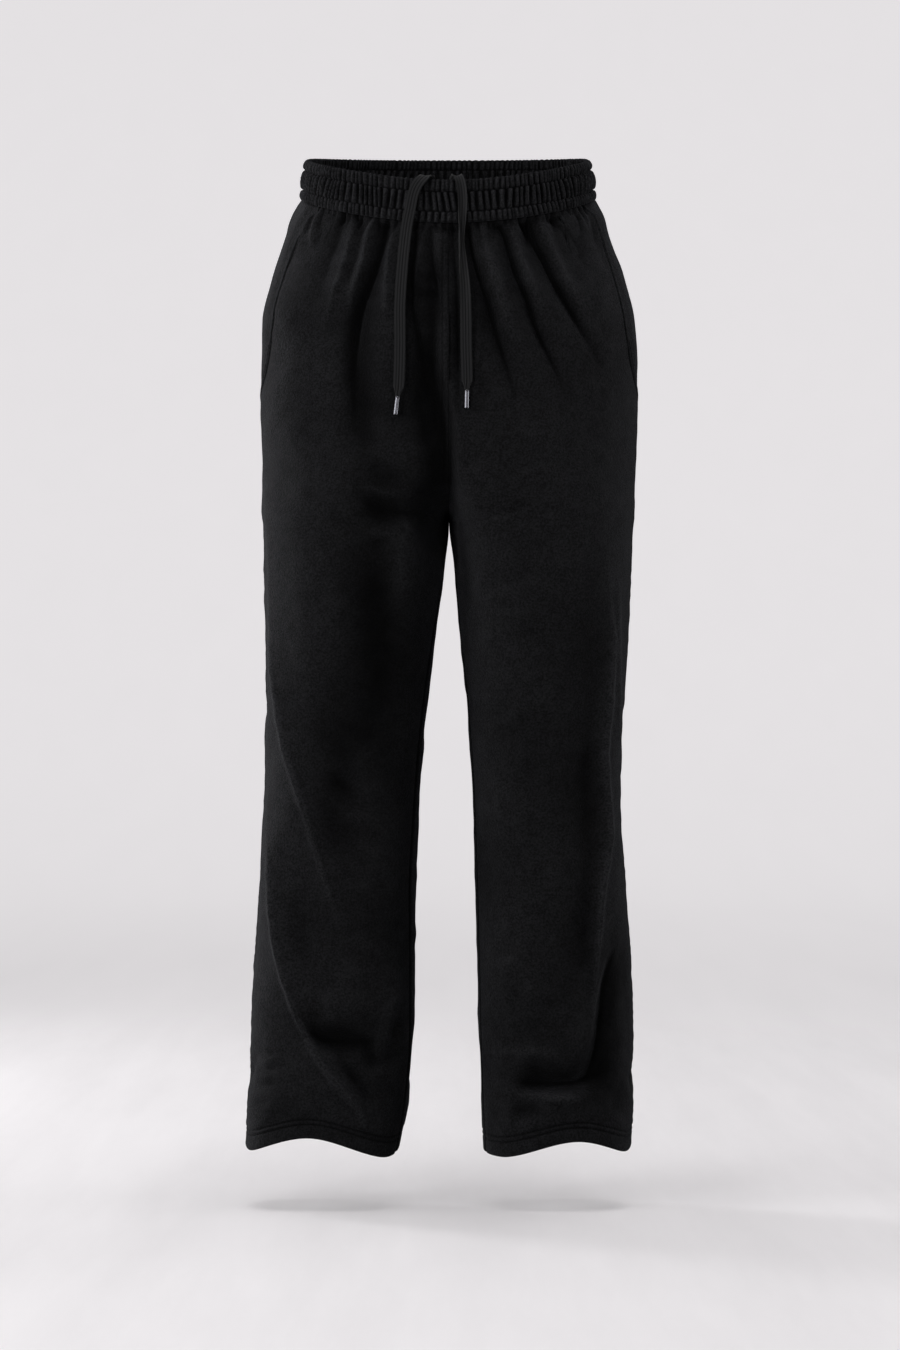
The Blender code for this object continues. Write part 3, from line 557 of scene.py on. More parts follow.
def pleats(side, share, down, seed):
    """Gathers that the elastic presses into the cloth under the waistband.

    Each starts as a sharp notch at the seam, and some go on down as soft troughs that fan out.
    """
    random = np.random.default_rng(seed)
    waist = pace(side, np.array([0.5]), np.array([BAND]))[0]
    height = np.zeros(len(share))
    near = down < BAND + PLEATS_REACH
    below = down[near] - BAND
    place = 3.0
    while place < 2 * waist:
        notch = random.uniform(1.9, 3.2)
        size = random.uniform(3.0, 6.5)
        length = random.uniform(14, 46)
        drift = random.uniform(-0.25, 0.25)
        away = share[near] * waist - place - drift * below
        wide = notch + np.maximum(below, 0) / 16
        sharp = np.exp(-(np.sqrt(away**2 + 0.2) / wide) ** 1.3)
        height[near] -= size * sharp * (1 - ease(0, length, below))
        if random.uniform() < 0.5:
            broad = random.uniform(3.2, 5.5)
            size = random.uniform(1.2, 3.0)
            length = random.uniform(30, 95)
            wide = broad + np.maximum(below, 0) / 22
            soft = np.exp(-(np.abs(away) / wide) ** 1.6)
            height[near] -= size * soft * (1 - ease(0.1 * length, length, below))
        place += random.uniform(5.5, 10.5)
    # The cloth fills out just under the band, between its gathers
    fuller = 1.6 * ease(BAND - 3, BAND + 3, down) * (1 - ease(BAND + 4, BAND + 45, down))
    return height * ease(BAND - 6, BAND + 5, down) + fuller


STITCH_ROWS = (16.0, 21.5)  # of the twin-needle hem, above its edge
MOUTH_ROWS = (3.2, 8.5)     # of the pocket mouth's topstitching, from its edge
FRONT_ROW = 6.5             # the fly seam's topstitching, on the wearer's right
STITCHED = (1.2, 1.2)       # depth and width of the groove that a row of stitches makes
MOUTH_STITCHED = (1.5, 1.2)
MOUTH_PULLED = {-1: 5.0, 1: 13.0}       # how much nearer to the side seam a mouth's top end is drawn
GAPE = {-1: 1.2, 1: 3.6}    # how far the pocket mouths stand open near their tops
CORD_HOLDS = 11.0           # half width of the cloth that a cord holds down
CORD_EXIT = 3               # the point of a cord's route where it leaves the waistband
PATTERN_PACE = 200.0        # millimetres that random patterns count to one unit of share


def groove(distance, depth, width):
    """Profile of a groove, at a distance from its middle."""
    return -depth * np.exp(-(distance / width) ** 2)


def mouth_width(side, down):
    """Width of the pocket's layer that shows between the mouth and the side seam."""
    narrower = MOUTH_PULLED[side] * (1 - ease(60, 185, down))
    return smooth([m.down for m in MOUTH], [m.width for m in MOUTH], down) - narrower


def edge_distances(side, part, share, down):
    """Millimetres to the centre seam or inseam, and to the side seam or pocket mouth."""
    here = pace(side, share, down)
    if part == "front":
        return share * here, (1 - share) * here - np.where(down < MOUTH_END, mouth_width(side, down), 0)
    return (2 - share) * here, (share - 1) * here


def pressed(points):
    """0 under the cords, where they hold the cloth down, and 1 away from them."""
    free = np.ones(len(points))
    flat = points[:, [0, 2]]
    for route in (RIGHT_ROUTE, LEFT_ROUTE):
        path = catmull_rom([(p.x, p.z) for p in route[CORD_EXIT:]], 3 * len(route))
        near = (points[:, 1] < 0) & (np.abs(flat[:, 0]) < 90) & (flat[:, 1] > -310)
        if near.any():
            gap, _, _ = along_path(flat[near], path)
            free[near] *= 1 - np.exp(-(gap / CORD_HOLDS) ** 4)
    return free


def seam_relief(side, part, down, inseam, outseam):
    """How far seams and rows of stitches sink the outer face, and a pocket's mouth raises it."""
    on_leg = ease(CROTCH, CROTCH + 60, down)
    seams = groove(inseam, 0.5 + 1.4 * on_leg, 1.5 + 1.2 * on_leg) + groove(outseam, 1.1, 1.7)
    seams += groove(down - BAND, 0.9, 1.6)
    for row in STITCH_ROWS:
        seams += groove(HEM - down - row, *STITCHED)
    if part == "front":
        mouth = ease(MOUTH_END + 6, MOUTH_END - 6, down)
        for row in MOUTH_ROWS:
            seams += groove(outseam - row, *MOUTH_STITCHED) * mouth
        # The mouth's turned edge is thicker, and its upper part stands open
        seams += mouth * (0.9 * np.exp(-(outseam / 9) ** 6) - groove(outseam - 0.4, 0.8, 1.3))
        gape = GAPE[side]
        seams += gape * mouth * np.exp(-(outseam / 11) ** 2 - ((down - 78) / 30) ** 2)
        if side < 0:
            seams += groove(inseam - FRONT_ROW, 0.6, 1.0) * (1 - ease(CROTCH - 60, CROTCH - 20, down))
    return seams


def relief(side, part, share, down, points, normals):
    """How far folds and seams move the cloth's outer face, and its pressed edges' part in that."""
    folds = np.zeros(len(points))
    crests = np.zeros(len(points))
    for face_name, drawn in FOLDS.items():
        for fold in drawn:
            height, edge = fold_height(face_name, fold, points, normals)
            folds += height
            crests += edge
    # Slack cloth swells a little, and the stitched band and hem hold it flatter
    across = share * PATTERN_PACE
    seed = 11 + 3 * side + (7 if part == "back" else 0)
    folds += swell(across, down, 0.9, (70, 150), seed)
    folds += swell(across, down * 1.4, 0.28, (22, 48), seed + 100)
    folds *= ease(BAND - 2, BAND + 9, down) * (1 - 0.75 * ease(HEM - 26, HEM - 18, down))
    folds += pleats(side, share, down, seed + 200)
    # Seams hold the folds down beside them, and pucker a little on the legs
    inseam, outseam = edge_distances(side, part, share, down)
    nearest = np.minimum(np.abs(inseam), np.abs(outseam))
    on_leg = ease(CROTCH, CROTCH + 60, down)
    at_seam = 0.85 - 0.5 * on_leg
    folds *= at_seam + (1 - at_seam) * ease(0, 4 + 10 * on_leg, np.abs(inseam))
    folds *= 0.35 + 0.65 * ease(0, 14, np.abs(outseam))
    pucker = np.sin(down / 1.9 + 1.7 * np.sin(down / 9.7)) * np.exp(-((nearest - 4) / 4) ** 2)
    folds += 0.22 * pucker * ease(CROTCH + 20, CROTCH + 60, down)
    folds = np.where(folds > 0, folds * pressed(points), folds)
    return folds, seam_relief(side, part, down, inseam, outseam), crests


FULL_SHADE_DEPTH = 8.0            # depth of a hollow that gets the full painted shade


def painted_shading_of(folds, seams, crests):
    """Painted shading from the relief: 1 is full painted shade, in deep folds and seam grooves, and below 0
    painted highlight, on crests and raised edges.
    """
    fold_shade = np.clip(-folds / FULL_SHADE_DEPTH, -0.25, 0.92)
    seam_shade = 0.75 * np.clip(-seams, -0.5, 1.2)
    return fold_shade + seam_shade - 0.55 * np.clip(crests, -1.5, 1.8)


def cloth_surface(side, part, share, down):
    """Points of the outer face, and the normals along which the cloth's thickness is measured.

    Beside the centre seam nothing moves sideways, so its two halves stay together.
    """
    points = drawn_surface(side, share, down)
    normals = drawn_normal(side, share, down)
    folds, seams, crests = relief(side, part, share, down, points, normals)
    held = ease(0, SEAM_HELD, np.minimum(share, 2 - share))
    moved = normals * folds[:, None]
    moved[:, 0] *= held
    normals[:, 0] *= np.where(down < CROTCH, held, 1)
    return points + moved, normals, seams, painted_shading_of(folds, seams, crests)


# --------------------------------------------------------------------------------- mesh and shading

def linear(hex_colour):
    """An sRGB hex colour as the linear RGBA that shaders take."""
    channels = [int(hex_colour[k:k + 2], 16) / 255 for k in (0, 2, 4)]
    return [c / 12.92 if c <= 0.04045 else ((c + 0.055) / 1.055) ** 2.4 for c in channels] + [1.0]


def add_node(tree, kind, settings=None, inputs=None):
    """Adds a node, with its properties, and its sockets set to values or linked from other sockets."""
    made = tree.nodes.new(kind)
    for key, value in (settings or {}).items():
        setattr(made, key, value)
    for key, value in (inputs or {}).items():
        if isinstance(value, bpy.types.NodeSocket):
            tree.links.new(value, made.inputs[key])
        else:
            made.inputs[key].default_value = value
    return made


def new_material(name, base):
    """A material and its tree, with the shader's own sockets set from base."""
    made = bpy.data.materials.new(name)
    made.use_nodes = True
    shader = made.node_tree.nodes["Principled BSDF"]
    for key, value in base.items():
        shader.inputs[key].default_value = value
    return made, made.node_tree, shader


def fleece_material():
    """Black cotton fleece, knitted and then peached: a soft matt nap, faint wales and mottling, with
    painted shade in its creases and painted highlight on its crests.
    """
    made, tree, shader = new_material("black_fleece", {
        "Roughness": 0.95, "Specular IOR Level": 0.10, "Sheen Weight": 0.25, "Sheen Roughness": 0.45,
        "Sheen Tint": linear("8a8a92")})
    place = add_node(tree, "ShaderNodeUVMap", {"uv_map": "cloth"}).outputs["UV"]
    solid = add_node(tree, "ShaderNodeTexCoord").outputs["Object"]
    # Colour: patches of 13 mm and of 2 mm where the nap lies differently
    broad = add_node(tree, "ShaderNodeTexNoise", None, {"Vector": solid, "Scale": 75.0, "Detail": 2.0,
                                                        "Roughness": 0.6})
    fine = add_node(tree, "ShaderNodeTexNoise", None, {"Vector": solid, "Scale": 480.0, "Detail": 4.0,
                                                       "Roughness": 0.65})
    both = add_node(tree, "ShaderNodeMix", {"data_type": "FLOAT"}, {0: 0.82, 2: broad.outputs["Fac"],
                                                                  3: fine.outputs["Fac"]})
    ramp = add_node(tree, "ShaderNodeValToRGB", None, {"Fac": both.outputs[0]})
    ramp.color_ramp.elements[0].position = 0.40
    ramp.color_ramp.elements[0].color = linear("121213")
    ramp.color_ramp.elements[1].position = 0.60
    ramp.color_ramp.elements[1].color = linear("252527")
    # Painted shade and highlight: the colour is darkened in creases and seam grooves and lightened on
    # crests and raised edges
    depth = add_node(tree, "ShaderNodeAttribute", {"attribute_name": "painted_shading"})
    painted_light_factor = add_node(tree, "ShaderNodeMapRange", None, {
        "Value": depth.outputs["Fac"], "From Min": -1.0, "To Min": 1.9, "To Max": 0.1})
    painted_colour = add_node(tree, "ShaderNodeVectorMath", {"operation": "SCALE"}, {
        0: ramp.outputs["Color"], "Scale": painted_light_factor.outputs["Result"]})
    tree.links.new(painted_colour.outputs[0], shader.inputs["Base Color"])
    # Relief: slight unevenness 10 mm across, wales 1.1 mm apart, and the nap's tufts. Real tufts are
    # finer, and they are drawn 1.8 mm across so that they show
    uneven = add_node(tree, "ShaderNodeTexNoise", None, {"Vector": solid, "Scale": 95.0, "Detail": 4.0,
                                                         "Roughness": 0.62})
    wales = add_node(tree, "ShaderNodeTexWave", {"wave_type": "BANDS", "bands_direction": "X"}, {
        "Vector": place, "Scale": 286.0, "Distortion": 2.5, "Detail": 3.0, "Detail Scale": 2.0})
    nap = add_node(tree, "ShaderNodeTexNoise", None, {"Vector": solid, "Scale": 560.0, "Detail": 3.0,
                                                      "Roughness": 0.7})
    first = add_node(tree, "ShaderNodeBump", None, {"Strength": 0.5, "Distance": 0.0014,
                                                    "Height": uneven.outputs["Fac"]})
    second = add_node(tree, "ShaderNodeBump", None, {"Strength": 0.10, "Distance": 0.0002,
                                                     "Height": wales.outputs["Fac"],
                                                     "Normal": first.outputs["Normal"]})
    third = add_node(tree, "ShaderNodeBump", None, {"Strength": 1.0, "Distance": 0.0016,
                                                    "Height": nap.outputs["Fac"],
                                                    "Normal": second.outputs["Normal"]})
    tree.links.new(third.outputs["Normal"], shader.inputs["Normal"])
    return made


def cord_material():
    """Flat drawcord of dull polyester yarn, woven with a slant and ribbed lengthwise: a dry soft gleam."""
    made, tree, shader = new_material("dark_grey_cord", {
        "Roughness": 0.8, "Specular IOR Level": 0.3, "Sheen Weight": 0.25, "Sheen Roughness": 0.4})
    place = add_node(tree, "ShaderNodeUVMap", {"uv_map": "cloth"}).outputs["UV"]
    # Yarns lie 1.3 mm apart, and their fuzz is drawn 1.1 mm long, coarser than it is, so that it shows
    yarns = add_node(tree, "ShaderNodeTexWave", {"wave_type": "BANDS", "bands_direction": "DIAGONAL"}, {
        "Vector": place, "Scale": 330.0, "Distortion": 1.2, "Detail": 2.0})
    fuzz = add_node(tree, "ShaderNodeTexNoise", None, {"Vector": place, "Scale": 900.0, "Detail": 3.0})
    ramp = add_node(tree, "ShaderNodeValToRGB", None, {"Fac": yarns.outputs["Fac"]})
    ramp.color_ramp.elements[0].color = linear("222224")
    ramp.color_ramp.elements[1].color = linear("28282b")
    # Ribs lie 3 mm apart, and the yarn between them is darkened as painted shade
    across = add_node(tree, "ShaderNodeSeparateXYZ", None, {0: place}).outputs["X"]
    turns = add_node(tree, "ShaderNodeMath", {"operation": "MULTIPLY"}, {0: across, 1: math.pi / 0.003})
    rib = add_node(tree, "ShaderNodeMath", {"operation": "SINE"}, {0: turns.outputs[0]})
    away = add_node(tree, "ShaderNodeMath", {"operation": "ABSOLUTE"}, {0: rib.outputs[0]})
    painted_light_factor = add_node(tree, "ShaderNodeMapRange", None, {"Value": away.outputs[0], "From Max": 1.1,
                                                        "To Min": 0.02})
    dark = add_node(tree, "ShaderNodeVectorMath", {"operation": "SCALE"}, {
        0: ramp.outputs["Color"], "Scale": painted_light_factor.outputs["Result"]})
    tree.links.new(dark.outputs[0], shader.inputs["Base Color"])
    first = add_node(tree, "ShaderNodeBump", None, {"Strength": 0.12, "Distance": 0.0002,
                                                    "Height": yarns.outputs["Fac"]})
    second = add_node(tree, "ShaderNodeBump", None, {"Strength": 0.2, "Distance": 0.0002,
                                                     "Height": fuzz.outputs["Fac"],
                                                     "Normal": first.outputs["Normal"]})
    tree.links.new(second.outputs["Normal"], shader.inputs["Normal"])
    return made


def thread_material():
    """Black twisted polyester sewing thread: a little glossier than the cloth, and mottled."""
    made, tree, shader = new_material("black_thread", {"Roughness": 0.85, "Specular IOR Level": 0.15})
    solid = add_node(tree, "ShaderNodeTexCoord").outputs["Object"]
    twist = add_node(tree, "ShaderNodeTexNoise", None, {"Vector": solid, "Scale": 1200.0})
    ramp = add_node(tree, "ShaderNodeValToRGB", None, {"Fac": twist.outputs["Fac"]})
    ramp.color_ramp.elements[0].color = linear("121213")
    ramp.color_ramp.elements[1].color = linear("1b1b1d")
    tree.links.new(ramp.outputs["Color"], shader.inputs["Base Color"])
    return made


def tip_material():
    """Dark nickel, pressed and polished: it mirrors the room, dulled by marks 2.5 mm across."""
    made, tree, shader = new_material("polished_metal", {"Metallic": 1.0, "Base Color": linear("78787e")})
    solid = add_node(tree, "ShaderNodeTexCoord").outputs["Object"]
    marks = add_node(tree, "ShaderNodeTexNoise", None, {"Vector": solid, "Scale": 400.0, "Detail": 4.0})
    dull = add_node(tree, "ShaderNodeMapRange", None, {"Value": marks.outputs["Fac"], "To Min": 0.05,
                                                       "To Max": 0.08})
    tree.links.new(dull.outputs["Result"], shader.inputs["Roughness"])
    return made


FLEECE = fleece_material()
TAPE = cord_material()
THREAD = thread_material()
METAL = tip_material()


def finish_mesh(bm, name, look, sharp=180.0):
    """Turns a bmesh in metres into an object at the origin."""
    mesh = bpy.data.meshes.new(name)
    bm.to_mesh(mesh)
    bm.free()
    mesh.shade_smooth()
    if sharp < 180:
        mesh.set_sharp_from_angle(angle=math.radians(sharp))
    mesh.materials.append(look)
    made = bpy.data.objects.new(name, mesh)
    scene.collection.objects.link(made)
    return made


def revolved(profile, steps):
    """A bmesh of rows of radius and height, turned once round the Z axis."""
    bm = bmesh.new()
    verts = [bm.verts.new((radius, 0, height)) for radius, height in profile]
    edges = [bm.edges.new(pair) for pair in zip(verts, verts[1:])]
    bmesh.ops.spin(bm, geom=verts + edges, cent=(0, 0, 0), axis=(0, 0, 1), angle=2 * math.pi, steps=steps,
                   use_merge=True, use_duplicate=False)
    bmesh.ops.remove_doubles(bm, verts=bm.verts[:], dist=0.001)
    bmesh.ops.recalc_face_normals(bm, faces=bm.faces[:])
    return bm


INNER_EXTRA_SHADE = 0.4            # how much more painted shade the inner face gets, on the same scale


def wall(name, columns, rows, cloth, node):
    """A closed wall of fleece, for cloth given as outer and inner points, flat places and painted shading.

    Each is an array over the corners of a grid, row by row from its first to its last.
    """
    outer, inner, flat, painted_shading = cloth
    bm = bmesh.new()
    bmesh.ops.create_grid(bm, x_segments=columns, y_segments=rows, size=0.5)
    extruded = bmesh.ops.extrude_face_region(bm, geom=bm.faces[:], use_keep_orig=True)
    copied = [item for item in extruded["geom"] if isinstance(item, bmesh.types.BMVert)]
    bmesh.ops.translate(bm, vec=(0, 0, -1), verts=copied)
    bmesh.ops.recalc_face_normals(bm, faces=bm.faces[:])
    made = finish_mesh(bm, name, FLEECE)
    mesh = made.data
    square = np.empty(3 * len(mesh.vertices))
    mesh.vertices.foreach_get("co", square)
    square = square.reshape(-1, 3)
    column = np.rint((square[:, 0] + 0.5) * columns).astype(int)
    row = np.rint((0.5 - square[:, 1]) * rows).astype(int)
    index = row * (columns + 1) + column
    outside = square[:, 2] > -0.5
    points = np.where(outside[:, None], outer[index], inner[index]) * MM
    # The inner face gets more painted shade than the outer one
    face_shading = np.where(outside, painted_shading[index], np.minimum(painted_shading[index] + INNER_EXTRA_SHADE, 1))
    mesh.vertices.foreach_set("co", points.ravel())
    corners = np.empty(len(mesh.loops), dtype=np.int32)
    mesh.loops.foreach_get("vertex_index", corners)
    layer = mesh.uv_layers.new(name="cloth")
    layer.uv.foreach_set("vector", (flat[index][corners] * MM).ravel())
    mesh.attributes.new("painted_shading", "FLOAT", "POINT").data.foreach_set("value", face_shading)
    mesh.update()
    if outward(outer, inner, columns) < 0:
        mesh.flip_normals()
    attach(made, "root")
    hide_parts(node)
    return made


def outward(outer, inner, columns):
    """Above 0 where the grid's outer face looks away from the inner one."""
    k = len(outer) // 2
    along = outer[k + 1] - outer[k]
    fall = outer[k + columns + 1] - outer[k]
    return -np.dot(np.cross(along, fall), outer[k] - inner[k])


# ------------------------------------------------------------------------------------- the panels

def even_levels(side, share):
    """Levels that cut the centre seam at share into equal lengths, from the waistband to the crotch."""
    levels = np.linspace(BAND + WAIST_GAP, CROTCH, 200)
    line = bare_surface(side, np.full_like(levels, share), levels)
    run = run_along(line)
    return np.interp(np.linspace(0, run[-1], TRUNK_ROWS + 1), run, levels)


TRUNK_LEVELS = np.linspace(BAND + WAIST_GAP, CROTCH, TRUNK_ROWS + 1)
CENTRE_LEVELS = {share: even_levels(1, share) for share in (0, 2)}
TUCKED = 3.0                # how far the panels run up inside the band's wall
EDGE_ROUND = 2.0            # radius of the hem's folded edge
HEM_TURNED = 25.0           # how far the hem is turned up inside
# Rows of the panels down the side seam: closer together by the waist, over the ankle and at the hem
SIDE_ROWS = np.concatenate((
    [BAND - TUCKED, BAND - 1.5], np.linspace(BAND, 70, 17)[:-1], np.linspace(70, 115, 20)[:-1],
    np.linspace(115, 380, 45)[:-1], np.linspace(380, 830, 66)[:-1], np.linspace(830, 1034, 62)[:-1],
    np.linspace(1034, HEM - 2, 27)[:-1], [HEM - 2, HEM - 1.3, HEM - 0.7, HEM - 0.3, HEM]))
PANEL_COLUMNS = 185
FLAT_PACE = 205.0           # millimetres of the flat cloth to one unit of share


def centre_level(share, side_level):
    """The centre seam's level on the row that meets the side seam at side_level."""
    above = np.minimum(side_level - TRUNK_LEVELS[0], 0)
    trunk = np.interp(side_level, TRUNK_LEVELS, CENTRE_LEVELS[share]) + above
    return np.where(side_level < CROTCH, trunk, side_level)


def lap_share(side, share, down):
    """How far a panel runs past a seam, as a share."""
    return SEAM_LAP / pace(side, np.full_like(down, share), down)


def panel_grid(side, part, u, side_level):
    """Share and level at u across a panel, on the row that meets the side seam at side_level."""
    if part == "front":
        down = centre_level(0, side_level) * (1 - u) + side_level * u
        first = -lap_share(side, 0, down)
        width = np.where(down < MOUTH_END, mouth_width(side, down), 0)
        last = 1 - (width - SEAM_LAP) / pace(side, np.full_like(down, 1), down)
    else:
        down = side_level * (1 - u) + centre_level(2, side_level) * u
        first = 1 - lap_share(side, 1, down)
        last = 2 + lap_share(side, 0, down)
    return first + (last - first) * u, down


def rounding(distance, radius):
    """How far a rounded edge has drawn back at a distance from it."""
    inside = np.clip(radius - distance, 0, radius)
    return radius - np.sqrt(radius**2 - inside**2)


def panel(side, part, name, node):
    """A front or a back of one half, with its hem turned up inside."""
    t, side_level = np.meshgrid(np.linspace(0, 1, PANEL_COLUMNS + 1), SIDE_ROWS)
    u = (0.5 * t + 0.5 * ease(0, 1, t)).ravel()
    share, down = panel_grid(side, part, u, side_level.ravel())
    points, normals, seams, painted_shading = cloth_surface(side, part, share, down)
    edge = rounding(HEM - down, EDGE_ROUND)
    thick = WALL + (HEM_WALL - WALL) * ease(HEM - HEM_TURNED, HEM - HEM_TURNED + 2, down)
    outer = points + normals * (seams - edge)[:, None]
    inner = points - normals * (thick - edge)[:, None]
    flat = np.stack([(share - share.mean()) * FLAT_PACE, -down], axis=1)
    return wall(name, PANEL_COLUMNS, len(SIDE_ROWS) - 1, (outer, inner, flat, painted_shading), node)


POCKET_COLUMNS = 44
POCKET_LEVELS = np.linspace(BAND + WAIST_GAP, 300, 90)
POCKET_STARTS = 0.5         # share at which the layer starts, under the front panel
UNDER_FRONT = 0.6           # part of the layer's columns that lie there
IN_MOUTH = 0.6              # how far below the panels' face the layer lies in the mouth


def pocket(side, name, node):
    """The pocket's back layer: under the front panel, then out in the mouth to the side seam."""
    t, down = np.meshgrid(np.linspace(0, 1, POCKET_COLUMNS + 1), POCKET_LEVELS)
    t = t.ravel()
    down = down.ravel()
    here = pace(side, np.full_like(down, 1), down)
    mouth = 1 - mouth_width(side, np.minimum(down, MOUTH_END)) / here
    edge = 1 + POCKET_LAP / here
    share = np.where(t < UNDER_FRONT, POCKET_STARTS + (mouth - POCKET_STARTS) * t / UNDER_FRONT,
                     mouth + (edge - mouth) * (t - UNDER_FRONT) / (1 - UNDER_FRONT))
    points = bare_surface(side, share, down)
    normals = drawn_normal(side, share, down)
    top = WALL + POCKET_CLEAR
    from_mouth = (share - mouth) * here
    from_seam = (1 - share) * here
    raised = (top - IN_MOUTH) * ease(5, 17, from_mouth) * ease(-0.1, 3.5, from_seam)
    lie = np.minimum(swell(share * PATTERN_PACE, down, 0.25, (30, 60), 40 + side), 0.3)
    depth = top - raised - lie * ease(4, 12, np.abs(from_seam))
    outer = points - normals * depth[:, None]
    inner = points - normals * (depth + POCKET_WALL)[:, None]
    flat = np.stack([share * FLAT_PACE, -down], axis=1)
    cloth = (outer, inner, flat, np.zeros(len(down)))
    return wall(name, POCKET_COLUMNS, len(POCKET_LEVELS) - 1, cloth, node)


# ------------------------------------------------------------------------------------ the waistband

BAND_ROUND = 815.0          # length of the closed waistband
BAND_COLUMNS = 900
# Levels of the band's rows: closer together over its edges and its stitches
BAND_ROWS = np.array([
    0, 0.25, 0.6, 1.1, 1.8, 2.8, 4, 5.5, 7, 8.5, 9.6, 10.4, 11, 11.6, 12.4, 13.6, 15.5, 17.5, 19.5, 21.5,
    23.5, 25.5, 27.5, 29.3, 30.4, 31.3, 32, 32.7, 33.5, 35, 36.5, 38, 39.5, 41, 42.2, BAND])
# Gathers of the three channels, from the top: mean pitch, height, slant over the channel's height, and
# how much wider than at its stitches a valley is halfway down
Gather = namedtuple("Gather", "pitch height slant lens")
GATHERS = (Gather(4.3, 4.8, 0.8, 1.0), Gather(5.8, 7.6, 2.6, 2.0), Gather(4.4, 4.6, 0.7, 1.0))
DEEPEST = 1.9               # how far a valley may sink into the band
OUTER_SEED = 61             # of the gathers on the band's outer face and on its inner one
INNER_SEED = 91
TOP_ROUND = BAND_WALL / 2 + 0.6         # radius of the folded top edge
TALLER = 2.6                # how much higher the top edge stands in front
HIGHLIGHT_ABOVE = 0.2            # painted highlight where the band's face stands higher than this, painted shade below
SHADE_RAMP = 1.1             # and full painted shade this far below that


def gathered(round_mm, channel, f, seed):
    """Height of the gathers at a distance round the waist, f being 0 to 1 down their channel.

    They differ in pitch, size and slant, and each may be higher at its channel's top or at its foot.
    """
    made = GATHERS[channel]
    random = np.random.default_rng(seed + channel)
    count = int(1.3 * round_mm.max() / made.pitch) + 4
    places = np.cumsum(random.uniform(0.55, 1.45, count) * made.pitch) - made.pitch
    sizes = random.uniform(0.45, 1.25, count)
    lower = random.uniform(0.3, 1.2, count)
    slants = np.convolve(random.uniform(-1, 1, count + 8), np.ones(9) / 3.6, "valid") * made.slant
    index = np.arange(count)
    moved = round_mm + np.interp(round_mm, places, slants) * (f - 0.5) * 2
    phase = np.interp(moved, places, index)
    size = np.interp(phase, index, sizes) * (1 - f) + np.interp(phase, index, lower * sizes) * f
    wave = np.abs(np.cos(math.pi * phase)) ** (1.0 + made.lens * np.sin(math.pi * f))
    return made.height * size * (wave - 0.6)


def channel_of(down):
    """The band's channel at each level, and how far down that channel the level lies, 0 to 1."""
    k = np.clip(np.searchsorted(CHANNELS, down, side="right") - 1, 0, len(CHANNELS) - 2)
    starts = np.array(CHANNELS)
    return k, np.clip((down - starts[k]) / (starts[k + 1] - starts[k]), 0, 1)


def band_relief(round_mm, down, seed):
    """How far the band stands out of its rows of stitches, gathers included."""
    k, f = channel_of(down)
    swelling = np.sin(math.pi * f)
    height = CHANNEL_BULGE * swelling ** 0.6
    for channel in range(len(GATHERS)):
        here = k == channel
        height[here] += (gathered(round_mm[here], channel, f[here], seed)
                         * (0.35 + 0.65 * swelling[here] ** 0.5))
    # The top edge is pulled smoother, and no valley sinks through the wall
    first = (k == 0) & (f < 0.5)
    height = np.where(first, height * (0.45 + 0.55 * ease(0, 0.5, f)), height)
    height += groove(down - CHANNELS[1], *STITCHED) + groove(down - CHANNELS[2], *STITCHED)
    return -DEEPEST + np.logaddexp(0, 2.5 * (height + DEEPEST)) / 2.5


def waistband(name, node):
    """One strip round the waist, from the centre back over the left half and back over the right."""
    u, down = np.meshgrid(np.linspace(0, 1, BAND_COLUMNS + 1), BAND_ROWS)
    u = u.ravel()
    down = down.ravel()
    points = np.empty((len(u), 3))
    normals = np.empty((len(u), 3))
    for side in (1, -1):
        half = (u <= 0.5) if side > 0 else (u > 0.5)
        share = np.abs(2 - 4 * u[half])
        points[half] = bare_surface(side, share, down[half])
        normals[half] = drawn_normal(side, share, down[half])
    round_mm = u * BAND_ROUND
    outside = band_relief(round_mm, down, OUTER_SEED)
    inside = np.maximum(0.6 * band_relief(round_mm, down, INNER_SEED), -0.7)
    # The cords hold the gathers under them down
    outside = np.where(outside > 1.0, 1.0 + (outside - 1.0) * pressed(points), outside)
    edge = rounding(down, TOP_ROUND) + groove(down - BAND, -0.6, 1.6)
    # The top edge goes up and down with its gathers
    scallop = 0.2 * gathered(round_mm, 0, np.full_like(u, 0.2), OUTER_SEED) * (1 - ease(0, 4, down))
    taller = TALLER * np.clip(1 - down / CHANNELS[1], 0, 1) * ease(20, 85, -points[:, 1])
    points[:, 2] += scallop + taller
    outer = points + normals * (outside - edge)[:, None]
    inner = points - normals * (BAND_WALL + inside - edge)[:, None]
    # Painted shade in the gathers' valleys, and painted highlight on their tops
    painted_shading = np.clip((HIGHLIGHT_ABOVE - outside) / SHADE_RAMP, -1, 1)
    flat = np.stack([round_mm, -down], axis=1)
    return wall(name, BAND_COLUMNS, len(BAND_ROWS) - 1, (outer, inner, flat, painted_shading), node)


# ---------------------------------------------------------------------------- the cords and tips

CORD_COLUMNS = 56
CORD_ROWS = 220
CORD_RIBS = 4               # lengthwise ribs on each flat face
RIB_DEPTH = 0.5             # of the grooves between them
CORD_GATHER = 13.0          # over which the cord draws in to its tip
DRAWN_IN = 0.60             # part of its width that it loses there
DRAWN_OUT = 0.9             # and part of its thickness that it gains
LOBES = (1.1, 0.22)         # depth of the dent between its two lobes, and its part of the half width
CURL = (-97.0, 24.0, 110.0)  # where the left cord folds on itself: height, length and half angle
CUPPED = 0.45               # part of that angle that it keeps along the rest of its upper length
CUP_ENDS = (-190.0, -130.0)  # heights between which the cup opens out
LEAST_BEND = 0.12           # half angle of the slight curve across every cord, in radians
SWAY = (0.12, 17.0)         # how far a cord wanders sideways, and over what length


